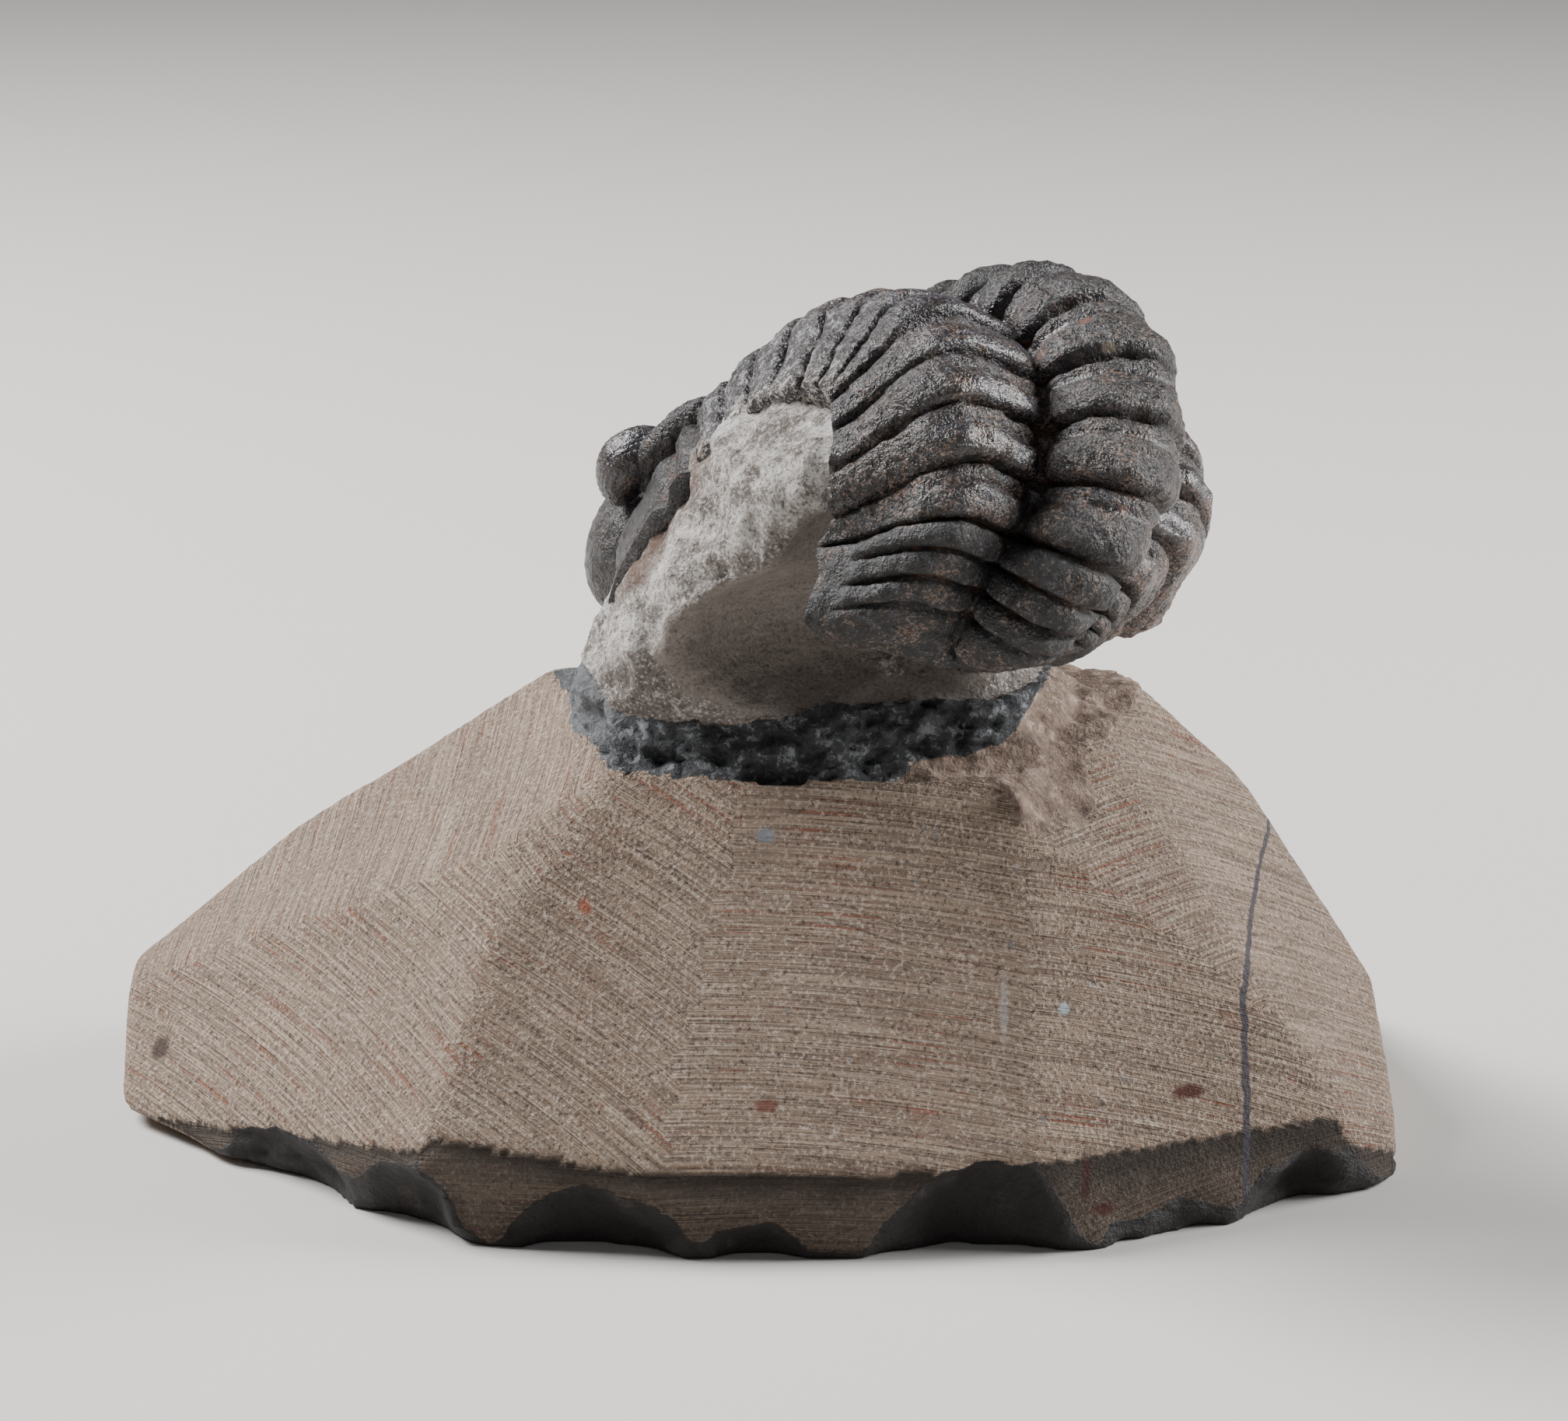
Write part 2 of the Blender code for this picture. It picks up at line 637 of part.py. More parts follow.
def make_stone(parts, cutters):
    stone = ground_block(parts)
    add_boolean(stone, make_neck(cutters), "UNION")
    for index, (centre, size) in enumerate(TAIL_HOLLOWS):
        add_boolean(stone, make_hollow(index, centre, size, cutters), "DIFFERENCE")
    for name, (centre, radius) in EDGE_CHIPS.items():
        add_boolean(stone, make_chip(name, centre, radius, cutters), "DIFFERENCE")
    for clearance in make_clearance(cutters):
        add_boolean(stone, clearance, "DIFFERENCE")
    return stone


def main():
    clear_scene()
    parts = new_collection(OBJECT_NAME)
    cutters = new_collection("cutters")
    make_trilobite(parts, cutters)
    make_stone(parts, cutters)


main()
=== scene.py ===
"""Morocops trilobite fossil: an arched black calcite trilobite on the neck of its ground limestone block.

Everything is in metres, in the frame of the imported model: +Z up, the photographed side facing -Y.
"""

import math

import bmesh
import bpy
import numpy as np
from mathutils import Matrix, Vector


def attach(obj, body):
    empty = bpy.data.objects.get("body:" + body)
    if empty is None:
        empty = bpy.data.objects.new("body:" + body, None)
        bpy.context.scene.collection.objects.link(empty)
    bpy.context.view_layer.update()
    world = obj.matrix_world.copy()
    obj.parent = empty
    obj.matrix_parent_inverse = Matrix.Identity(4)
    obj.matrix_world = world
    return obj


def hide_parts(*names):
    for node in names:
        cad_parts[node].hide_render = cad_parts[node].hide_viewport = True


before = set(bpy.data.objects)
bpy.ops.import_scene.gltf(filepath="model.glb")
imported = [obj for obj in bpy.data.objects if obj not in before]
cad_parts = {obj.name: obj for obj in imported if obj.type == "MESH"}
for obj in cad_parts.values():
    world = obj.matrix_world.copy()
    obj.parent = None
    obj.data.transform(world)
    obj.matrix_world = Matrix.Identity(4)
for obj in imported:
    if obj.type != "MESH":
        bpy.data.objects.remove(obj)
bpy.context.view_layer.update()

bl_info = {
    "name": "Morocops trilobite fossil",
    "version": (1, 0, 0),
    "blender": (4, 5, 0),
    "location": "View3D > Sidebar > Fossil",
    "description": "Builds a trilobite fossil on its limestone block, with a plain studio stage",
    "category": "Add Mesh",
}

MM = 0.001
PER_MM = 1 / MM

# Camera that took the photograph. Its sensor and focal length are in mm.
SENSOR_WIDTH = 36.0
FOCAL_LENGTH = 100.0
CAMERA_AIM = Vector((2.2, 0.0, 24.0)) * MM
CAMERA_ELEVATION = math.radians(15)
CAMERA_DISTANCE = 260.0 * MM

# Limestone block
BLOCK_SIZE = Vector((75.2, 55.2, 32.0)) * MM

# Flats ground on the block: heading of the face's normal, its steepness, its distance from the origin in mm,
# and the slant of the grinder's scratches on it, in degrees from level.
GROUND_FLATS = {
    "shoulder": (275.0, 5.0, 25.5, 10.0),
    "left_ridge": (200.0, 37.0, 26.8, -33.0),
    "left_front": (221.0, 58.0, 27.8, -14.5),
    "left_neck": (240.0, 50.0, 27.9, -37.0),
    "front_left": (260.0, 58.0, 26.0, -33.5),
    "front": (272.0, 60.0, 25.8, -2.5),
    "front_right": (294.0, 62.0, 29.4, -10.0),
    "right_neck": (314.0, 48.0, 31.7, 6.0),
    "right_ridge": (338.0, 50.0, 33.1, -25.5),
    "right_front": (325.0, 66.0, 36.9, -16.5),
    "right_end": (13.0, 60.0, 35.2, 35.0),
    "right_back": (49.0, 50.0, 28.7, -20.0),
    "back_right": (62.0, 61.0, 27.6, 12.0),
    "back": (90.0, 55.0, 24.6, -8.0),
    "back_left": (133.0, 58.0, 27.5, 28.0),
    "left_back": (115.0, 50.0, 22.6, -30.0),
    "left_foot": (226.0, 84.0, 30.4, 1.5),
    "front_left_foot": (257.2, 84.0, 28.0, -2.5),
    "front_foot": (271.8, 82.0, 27.4, 0.5),
    "front_right_foot": (294.0, 76.0, 30.9, 17.5),
    "right_foot": (318.0, 84.0, 38.2, 3.0),
    "left_underside": (192.0, 174.0, 3.1, 0.0),
    "right_underside": (330.0, 168.0, 8.3, 0.0),
    "back_underside": (95.0, 173.0, 2.3, 0.0),
}

# Shell-shaped chips along the lower edge, in mm: middle x and y on the edge, the heading that the scar faces,
# its half-width, its height and its depth.
EDGE_CHIPS = {
    "left": (-26.1, -16.7, 226.0, 5.2, 3.3, 1.3),
    "left_small": (-18.5, -22.7, 236.0, 4.8, 2.9, 1.0),
    "front_left": (-7.6, -26.7, 258.0, 5.2, 4.2, 1.3),
    "front": (1.0, -27.5, 270.0, 3.7, 2.8, 0.9),
    "front_right": (13.3, -27.1, 275.0, 7.0, 5.2, 1.6),
    "right_small": (24.3, -24.7, 290.0, 4.8, 4.0, 1.5),
    "right": (31.6, -20.8, 308.0, 7.2, 3.6, 1.8),
    "back_right": (21.0, 24.6, 66.0, 5.0, 3.2, 1.2),
    "back_left": (-20.0, 25.2, 125.0, 5.4, 3.0, 1.2),
}

# Scars of the chips, in mm: height of their balls' middles, how ragged they are, and how far they are
# coloured, as a share of a ball's radius and as a height
CHIP_BASE = -0.3
CHIP_RAGGEDNESS = 0.75
CHIP_REACH = 1.09
CHIP_TOP = 9

# Top of the broken rim: its height at places along x, in mm
RIM_TOP = ((-11.5, -9.5, -7.5, -4.5, 1.0, 8.0), (29.6, 28.6, 26.8, 26.6, 27.4, 27.9))

# Foot of the rim, where it meets the rubble on the right: its height at places along x, in mm
RIM_FOOT = ((5.0, 8.5, 12.7, 17.6), (22.5, 24.3, 25.3, 27.5))

# UV map of the grinder's scratches, the radius of their arcs and how far apart the flats lie on it, in mm
SCRATCH_MAP = "scratches"
SCRATCH_ARC = 90.0
SHEET_STEP = 100

# How ragged the lines between the flats are
EDGE_RAGGEDNESS = 0.1 * MM

# Where the stone's zones start, where they are full, and how far noise moves them, in mm. The hollow's are
# shares of the size of its ball.
ZONE_SPANS = {
    "wall": (0.2, 0.6, 0.0),
    "below_rim_top": (0.2, -0.2, -0.45),
    "below_rim_foot": (-0.3, 0.3, 0.7),
    "beside_neck": (5.0, 3.5, 0.8),
    "rubble_foot": (20.6, 21.6, 0.9),
    "rubble_end": (20.5, 19.0, 0.8),
    "hollow": (0.98, 1.14, 0.1),
    "scar": (0.1, 0.2, 0.0),
    "shaded_crease": (0.7, 0.1, 0.15),
    "stain": (-1.9, -0.9, 0.9),
    "stain_end": (-1.5, -3.0, 0.0),
    "pale": (-6.5, -3.5, 0.9),
    "beside_ribs": (39.0, 41.0, 1.5),
    "smooth_rim": (-6.8, -8.2, 0.5),
}

# Line below the cheek that the stained rock and the paler upper neck follow, in mm: a place on it and its
# slope. The paler upper neck is partly painted light.
CHEEK_PLACE = -8.8
CHEEK_HEIGHT = 33.6
CHEEK_SLOPE = 1.15

# Noise at the edges of the zones, the tints, the flats and the scars: size of its lumps, layers and seed
ZONE_NOISE = (3.0 * MM, 3, 5)
TINT_NOISE = (3.4 * MM, 3, 80)
EDGE_NOISE = (1.6 * MM, 2, 70)
CHIP_NOISE = (3.4 * MM, 3, 90)

# Noise on the stone: its stretch in x, y and z, the size of its lumps in mm, its layers and its seed
EVEN = (1, 1, 1)
STONE_NOISE = {
    "creases": (EVEN, 3.2, 3, 20),
    "fine_creases": (EVEN, 1.3, 2, 24),
    "humps": (EVEN, 5.0, 1, 26),
    "knobs": (EVEN, 0.9, 2, 90),
    "swells": ((0.4, 0.4, 1), 1.8, 3, 28),
    "ledges": ((1, 1, 2.2), 4.2, 3, 30),
    "splinters": ((1, 1, 2.2), 1.7, 3, 36),
    "rubble": ((0.7, 1, 0.7), 2.4, 4, 40),
    "ripples": (EVEN, 2.4, 3, 50),
    "waves": (EVEN, 7.0, 2, 60),
    "grit": (EVEN, 1.0, 2, 64),
}
LEDGES_IN_MM = 2.6
SMOOTHING_ROUNDS = 14

# Heights between which the relief fades in, so that the underside stays flat
RELIEF_START = (0.2 * MM, 1.2 * MM)

# Neck of rock, in mm: height, centre x and y, half-length, half-width, and the heading of its long axis.
NECK_LEVELS = (
    (19.0, 4.4, -3.2, 15.6, 11.6, 2.0),
    (22.6, 4.3, -3.2, 15.2, 11.6, 2.0),
    (26.2, 4.2, -3.4, 14.6, 10.9, 4.0),
    (27.6, 4.0, -4.4, 13.6, 9.4, 10.0),
    (31.0, 3.4, -6.6, 12.4, 8.6, 20.0),
    (35.0, 3.8, -9.0, 10.6, 8.8, 26.0),
    (39.0, 5.6, -11.4, 8.6, 8.8, 30.0),
    (43.0, 6.6, -12.6, 8.6, 8.4, 34.0),
    (46.5, 9.6, -12.6, 7.0, 6.4, 34.0),
)
NECK_SIDES = 48
NECK_SQUARENESS = 2.5

# Hollows blasted out below the tail, in mm: centre, and half-size in x, y and z.
TAIL_HOLLOWS = (
    ((14.5, -21.0, 36.2), (12.6, 11.6, 7.2)),
    ((8.4, -21.6, 31.6), (13.6, 12.4, 6.2)),
)
BALL_SEGMENTS = 96
BALL_RINGS = 64

# Trilobite, laid out flat: its sizes along the line of the hinges
SEGMENTS = 11
SEGMENT_LENGTH = 3.3 * MM
HEAD_LENGTH = 15.0 * MM
TAIL_LENGTH = 7.7 * MM
HALF_WIDTH = 12.9 * MM
AXIS_HALF_WIDTH = 4.1 * MM
AXIS_HEIGHT = 4.5 * MM
FLANK_START = 7.9 * MM
FLANK_RADIUS = 3.5 * MM
FLANK_SLOPE = math.radians(70)
REAR_BULGE = 0.06
BULGE_SPAN = (0.35, 0.62)
REAR_TAPER = 0.28
TAPER_SPAN = (0.8, 1.0)
HEAD_ROUNDNESS = 2.3
TAIL_ROUNDNESS = 2.0
TIP_THICKNESS = 1.4 * MM
BELLY_RISE = 1.4 * MM
TIP_SWEEP = 1.75 * MM
REAR_TIP_SWEEP = 2.5 * MM
SWEEP_SPAN = (0.0, 0.45)
REAR_SWEEP_SPAN = (0.55, 1.0)
SWEPT_FLANK = (0.25, 1.15)
TAIL_SHIFT = 2.6 * MM
SHIFT_SPAN = (0.8, 1.1)
END_SHARE = 0.16
FRONT_LOWERING = 0.55 * MM
FRONT_SPAN = (0.62, 0.3)
RIGHT_NARROWING = 0.17
RIGHT_SPAN = (0.25, 0.6)
LEFT_TAIL_FULLNESS = 0.5
LEFT_TAIL_SPAN = (0.3, 1.0)
TAIL_TWIST = 0.32
TWIST_SPAN = (0.15, 1.0)
SIDE_SPAN = (0.1, 0.6)
THORAX_LENGTH = SEGMENTS * SEGMENT_LENGTH
BODY_END = THORAX_LENGTH + TAIL_LENGTH

# How far each joint bends, in degrees, from the one behind the head to the one before the tail
JOINT_BENDS = (11.0, 11.0, 11.0, 10.5, 10.5, 12.0, 22.0, 18.0, 14.5, 15.0, 16.5)
HEAD_LIFT = 9.5
TAIL_CURL = 41.5
CREST_JOINT = 6
CREST_PITCH = 89.0

# Where the arch stands: the hinge line at its crest, the way the tail points, and its lean to the right side
CREST = np.array((16.9, -10.7, 47.8)) * MM
TAIL_HEADING = math.radians(32.5)
LEAN = math.radians(26)

# Relief of the segments: heights are from the plain surface, shares run from a segment's front to its rear
JOINT_DEPTH = 0.62 * MM
JOINT_SHARE = 0.055
HALF_RING_SHARE = 0.34
HALF_RING_DROP = 0.34 * MM
HALF_RING_SWELL = 0.38 * MM
RING_SWELL = 0.4 * MM
RING_LEAN = 1.3
FRONT_BAND_SHARE = 0.4
FRONT_BAND_DROP = 0.3 * MM
FRONT_BAND_SWELL = 0.32 * MM
RIB_SWELL = 0.35 * MM
RIB_LEAN = 1.1
BAND_FADE = (0.35, 0.6)
FURROW_DEPTH = 0.26 * MM
FURROW_WIDTH = 0.5 * MM
PIT_DEPTH = 0.3 * MM
FULLNESS = 0.5

# Relief of the tail
TAIL_RINGS = 6
TAIL_RING_CROWDING = 1.25
TAIL_JOINT_DEPTH = 0.62 * MM
TAIL_BORDER = (0.74, 0.86)
RIGHT_TAIL_BORDER = (0.3, 0.5)
TAIL_AXIS_NARROWING = 0.6
TAIL_AXIS_LOWERING = 0.55
TAIL_AXIS_END = (0.6, 1.0)
TAIL_RISE = 0.95

# Relief of the head: a line is its middle, its width and its height
HEAD_RISE = 0.12
AXIS_SINKING = 0.8
AXIS_SINKS = (0.15, 0.35)
REAR_RIM = (0.8 * MM, 0.6 * MM, 0.35 * MM)
REAR_FURROW = (1.9 * MM, 0.5 * MM, -0.6 * MM)
SIDE_RIM_HEIGHT = 0.3 * MM
SIDE_RIM_START = (0.9, 0.96)
SIDE_FURROW = (0.85, 0.05, -0.4 * MM)

# Head lobes, measured from the joint behind the head: forward, to the side, and up
GLABELLA_CENTRE = Vector((9.7, 0.0, 1.3)) * MM
GLABELLA_SIZE = Vector((7.2, 8.8, 5.0)) * MM
GLABELLA_BACK_TAPER = 0.42
EYE_CENTRE = Vector((6.0, 10.0, 1.3)) * MM
EYE_SIZE = Vector((2.9, 1.7, 2.4)) * MM
EYE_BEND = 0.9 * MM
EYE_CROWN = 0.8
EYE_FOOT = 0.7
LENS_SPACING = 0.52 * MM
LENS_HEIGHT = 0.06 * MM
LENS_ROW_SHARE = 0.87
LENS_STEEPNESS = 4.6
LENS_FACE = (0.25, 0.5)
LENS_BAND_MIDDLE = -0.1
LENS_BAND_HALF_HEIGHT = 0.8
LENS_BAND_FADE = 0.15
LID_CENTRE = Vector((2.8, 9.0, 0.3)) * MM
LID_SIZE = Vector((3.7, 1.8, 1.15)) * MM
LOBE_STATION = -0.3

# Painted shade of a pit below the left eye and of a slot behind it, in mm: centre, and half-size in x, y and
# z. They are coloured dark as painted shade and not sunk.
PAINTED_EYE_SHADE = (((-7.1, -4.8, 37.4), (1.6, 3.4, 1.5)), ((-5.3, -5.2, 39.4), (1.0, 2.2, 1.0)))
PIT_EDGE = (0.6, 1.0)

# Where the shell's finishes start and are full: what they run along, and two places on it. The ridge is a
# point's height over the plain surface as a share of a rib's, the pleura runs from the furrow beside the axis
# to the tip, the side from -1 at the right tip to 1 at the left one, and the station from 0 behind the head to
# 1 before the tail.
SHELL_SPANS = {
    "tail": ("station", 0.93, 1.03),
    "rear": ("station", 0.5, 0.85),
    "middle": ("station", 0.3, 0.75),
    "front": ("station", 0.68, 0.5),
    "tail_edge": ("station", 0.9, 1.0),
    "rear_flank": ("station", 0.4, 0.6),
    "off_axis": ("pleura", 0.02, 0.1),
    "outside_band": ("pleura", 0.4, 0.62),
    "worn": ("pleura", 0.25, 0.6),
    "border": ("pleura", 0.35, 0.5),
    "tips": ("pleura", 0.8, 0.97),
    "granular": ("ridge", -0.5, 0.6),
    "raised": ("ridge", -0.2, 0.6),
    "sunk": ("ridge", 0.0, -0.3),
    "deep": ("ridge", -1.2, -1.5),
    "furrow": ("ridge", 0.1, -1.4),
    "left": ("side", 0.0, 0.2),
    "right": ("side", -0.1, -0.3),
    "far_right": ("side", -0.5, -0.7),
}

# Pleura that ends the axis, station that ends the head, and pleura below which a lobe has no granules
AXIS_EDGE = 0.02
HEAD_EDGE = 0.02
GLOSSY_LOBE = 0.3

# Noise of the granules, as size, layers and seed, and of the dents, as height, size, layers and seed
GRANULE_NOISE = (0.34 * MM, 2, 3)
DENTS = ((0.24 * MM, 4.2 * MM, 2, 11), (0.13 * MM, 1.1 * MM, 3, 14))

# Mesh of the trilobite
AXIS_COLUMN_SHARE = 0.34
CURVE_SAMPLES = 600
LINE_MARGIN = 6.0 * MM
ROWS_IN_SEGMENT = 20
HEAD_ROWS = 44
TAIL_ROWS = 36
ROW_CROWDING = 0.82
DORSAL_COLUMNS = 201
BELLY_COLUMNS = 23
LOBE_SEGMENTS = 96
LOBE_RINGS = 64
MERGE_DISTANCE = 0.001 * MM

# Terrace lines along the border of the tail: their spacing, as a share of the flank's width
TERRACE_SPACING = 0.021

# Spots and the vein: the noise at their edges, and how far it moves a spot's edge and where that edge lies,
# as shares of the spot's radius
WANDER = {"Scale": PER_MM / 1.4, "Detail": 4.0}
SPOT_UNEVENNESS = 1.6
SPOT_EDGE = (2.0, 1.3)

# Main colours, as sRGB hex values
# Grey of the painted sheen on the smooth bands
PAINTED_SHEEN_GREY = "#47444a"
ROCK_DUST = "#8d7963"
WORN_GRAIN = "#b9b5b6"
GROUND_TAN = "#a8937f"
GROUND_DARK = "#7f6c5d"
NECK_GREY = "#867e79"
# Also the colour of the pale upper neck, partly painted light
NECK_WHITE = "#d6d1cc"
NECK_SHADE = "#736b65"
RIM_SLATE = "#45474a"
RIM_PALE = "#a0a3a6"
CHIP_BROWN = "#1d1817"
CHIP_PALE = "#4c433c"
VEIN_BLUE = "#45424a"
FLOOR_PALE = "#cfccc8"


# Small helpers


def linear(hex_colour):
    """An sRGB hex value as linear red, green, blue and alpha."""
    parts = [int(hex_colour[place:place + 2], 16) / 255 for place in (1, 3, 5)]
    light = [part / 12.92 if part <= 0.04045 else ((part + 0.055) / 1.055) ** 2.4 for part in parts]
    return (*light, 1.0)


def smooth_step(value, low, high):
    share = np.clip((value - low) / (high - low), 0, 1)
    return share * share * (3 - 2 * share)


def swell(share, lean=1.0):
    """A full bump from 0 to 1 and back to 0. Its top leans towards the end where lean is over 1."""
    return np.sin(math.pi * np.clip(share, 0, 1) ** lean) ** FULLNESS


def groove(place, line):
    """A raised or sunk line: line holds its middle, its width and its height."""
    middle, width, height = line
    return height * np.exp(-(((place - middle) / width) ** 2))


def lattice_value(cell):
    """A fixed random value from -1 to 1 for each cell of a cubic lattice."""
    mix = cell[..., 0] * 374761393 + cell[..., 1] * 668265263 + cell[..., 2] * 1440662683
    mix = (mix ^ (mix >> 13)) * 1274126177
    mix = mix ^ (mix >> 16)
    return (mix & 0xFFFF) / 32767.5 - 1


def rough(points, size, seed=0):
    """Smooth random heights from -1 to 1 that change over the given size."""
    place = points / size + 31.7 * (seed + 1)
    cell = np.floor(place).astype(np.int64)
    share = place - cell
    share = share * share * (3 - 2 * share)
    total = np.zeros(points.shape[:-1])
    for corner in np.ndindex(2, 2, 2):
        weight = np.prod(np.where(np.array(corner), share, 1 - share), axis=-1)
        total += weight * lattice_value(cell + np.array(corner))
    return total


def rough_layers(points, size, layers, seed=0):
    """Roughness in several layers, each half as large and half as high as the one before."""
    total = np.zeros(points.shape[:-1])
    for layer in range(layers):
        total += rough(points, size / 2**layer, seed + layer) / 2**layer
    return total


def read_vertices(mesh, name):
    values = np.empty(len(mesh.vertices) * 3)
    mesh.vertices.foreach_get(name, values)
    return values.reshape(-1, 3)


def set_places(mesh, places):
    mesh.vertices.foreach_set("co", places.ravel())
    mesh.update()


def paint(mesh, name, values):
    """Stores one number for each vertex, for the materials to read."""
    layer = mesh.attributes.new(name, "FLOAT", "POINT")
    layer.data.foreach_set("value", np.ascontiguousarray(values, dtype=np.float32).ravel())


def add_object(name, work, material=None):
    """Turns a bmesh into an object."""
    mesh = bpy.data.meshes.new(name)
    work.to_mesh(mesh)
    work.free()
    obj = bpy.data.objects.new(name, mesh)
    bpy.context.scene.collection.objects.link(obj)
    if material:
        mesh.materials.append(material)
    return obj


def settle(obj):
    """Applies an object's modifiers."""
    depsgraph = bpy.context.evaluated_depsgraph_get()
    finished = bpy.data.meshes.new_from_object(obj.evaluated_get(depsgraph))
    obj.modifiers.clear()
    old = obj.data
    obj.data = finished
    bpy.data.meshes.remove(old)


# Materials

COORDINATES = "ShaderNodeTexCoord"
ATTRIBUTE = "ShaderNodeAttribute"
UV_MAP = "ShaderNodeUVMap"
AXES = "ShaderNodeSeparateXYZ"
MAPPING = "ShaderNodeMapping"
NOISE = "ShaderNodeTexNoise"
CELLS = "ShaderNodeTexVoronoi"
STEP = "ShaderNodeMapRange"
MATHS = "ShaderNodeMath"
VECTOR_MATHS = "ShaderNodeVectorMath"
MIX = "ShaderNodeMix"
BUMP = "ShaderNodeBump"

NOISE_INPUTS = ("Vector", "Scale", "Detail", "Roughness")
STEP_INPUTS = ("Value", "From Min", "From Max")
BUMP_INPUTS = ("Height", "Distance", "Strength", "Normal")
SMOOTH = {"interpolation_type": "SMOOTHSTEP"}


def set_inputs(tree, node, inputs):
    """Gives a node's inputs the outputs of other nodes or fixed values."""
    for name, value in inputs.items():
        if isinstance(value, bpy.types.NodeSocket):
            tree.links.new(value, node.inputs[name])
        else:
            node.inputs[name].default_value = value


def add_node(tree, kind, inputs=None, output=0, **settings):
    """Adds a node and returns one of its outputs."""
    node = tree.nodes.new(kind)
    for name, value in settings.items():
        setattr(node, name, value)
    set_inputs(tree, node, inputs or {})
    return node.outputs[output]


def picked(values, items):
    """Items in which the value of that name stands for each name."""
    return [values[item] if isinstance(item, str) else item for item in items]


def add_rows(tree, kind, inputs, values, rows, **settings):
    """Adds like nodes and returns their outputs by name. A row holds inputs: numbers, or names of values."""
    return {
        name: add_node(tree, kind, dict(zip(inputs, picked(values, row))), **settings)
        for name, row in rows.items()
    }


def product(tree, *values):
    """Several shares multiplied."""
    total = values[0]
    for value in values[1:]:
        total = add_node(tree, MATHS, {0: total, 1: value}, operation="MULTIPLY")
    return total


def plus(tree, total, *terms):
    """A value with others added, each times its factor."""
    for value, factor in terms:
        total = add_node(tree, MATHS, {0: value, 1: factor, 2: total}, operation="MULTIPLY_ADD")
    return total


def layered(tree, shares, colour, *layers):
    """Colours laid over one another. A layer is its colour, then the shares that are multiplied for it."""
    under = linear(colour) if isinstance(colour, str) else colour
    for over, *parts in layers:
        over = linear(over) if isinstance(over, str) else over
        share = product(tree, *picked(shares, parts))
        under = add_node(tree, MIX, {0: share, 6: under, 7: over}, 2, data_type="RGBA")
    return under


def new_material(name):
    material = bpy.data.materials.new(name)
    material.use_nodes = True
    tree = material.node_tree
    return material, tree, tree.nodes["Principled BSDF"], add_node(tree, COORDINATES, output="Object")


def spots(tree, place, marks):
    """Small stains with uneven edges, as layers."""
    uneven = add_node(tree, NOISE, {"Vector": place, **WANDER})
    layers = []
    for centre, size, tint, strength in marks:
        middle = tuple(part * MM for part in centre)
        spread = tuple(part * MM for part in size)
        off = add_node(tree, VECTOR_MATHS, {0: place, 1: middle}, operation="SUBTRACT")
        off = add_node(tree, VECTOR_MATHS, {0: off, 1: spread}, operation="DIVIDE")
        away = add_node(tree, VECTOR_MATHS, {0: off}, "Value", operation="LENGTH")
        edge = (plus(tree, away, (uneven, SPOT_UNEVENNESS)), *SPOT_EDGE)
        layers.append((tint, add_node(tree, STEP, dict(zip(STEP_INPUTS, edge)), **SMOOTH), strength))
    return layers


# Noise in the shell: the place it lies on, its scale from the size of its patches in mm, detail and roughness
SHELL_NOISE = {
    "clouds": ("place", PER_MM / 3.6, 4, 0.55),
    "patches": ("place", PER_MM / 1.7, 5, 0.7),
    "stains": ("place", PER_MM / 2.4, 6, 0.7),
    "flakes": ("place", PER_MM / 0.8, 5, 0.75),
    "specks": ("place", PER_MM / 0.5, 2, 0.5),
    "grains": ("place", PER_MM / 0.3, 2, 0.6),
    "grit": ("place", PER_MM / 0.15, 2, 0.6),
}

# Masks on the shell: the noise or paint that each reads, where it starts and where it is full
SHELL_MASKS = {
    "clouds": ("clouds", 0.4, 0.62),
    "patches": ("patches", 0.44, 0.58),
    "stains": ("stains", 0.5, 0.64),
    "rust": ("stains", 0.64, 0.72),
    "flakes": ("flakes", 0.5, 0.62),
    "specks": ("specks", 0.72, 0.78),
    "grains": ("grains", 0.48, 0.62),
    "grit": ("grit", 0.54, 0.66),
    "black": ("grit", 0.48, 0.38),
    "deep": ("furrow", 0.3, 0.9),
    "border": ("terrace", 0.3, 0.5),
}
SHELL_PAINTS = ("furrow", "sheen", "brown", "wear", "terrace", "tail", "dusty", "pit", "flank")

# Stains on the shell, in mm: centre, radius, colour, and how strong it is
SHELL_SPOTS = (
    ((19.8, -18.6, 49.2), (0.45, 0.45, 0.4), "#a99b89", 0.7),
    ((18.5, -17.1, 50.6), (0.5, 0.45, 0.35), "#74462f", 0.8),
    ((20.3, -25.4, 41.8), (0.45, 0.5, 0.4), "#8a5f4d", 0.7),
    ((16.4, -17.5, 48.6), (0.6, 0.6, 0.6), "#7b5746", 0.6),
)


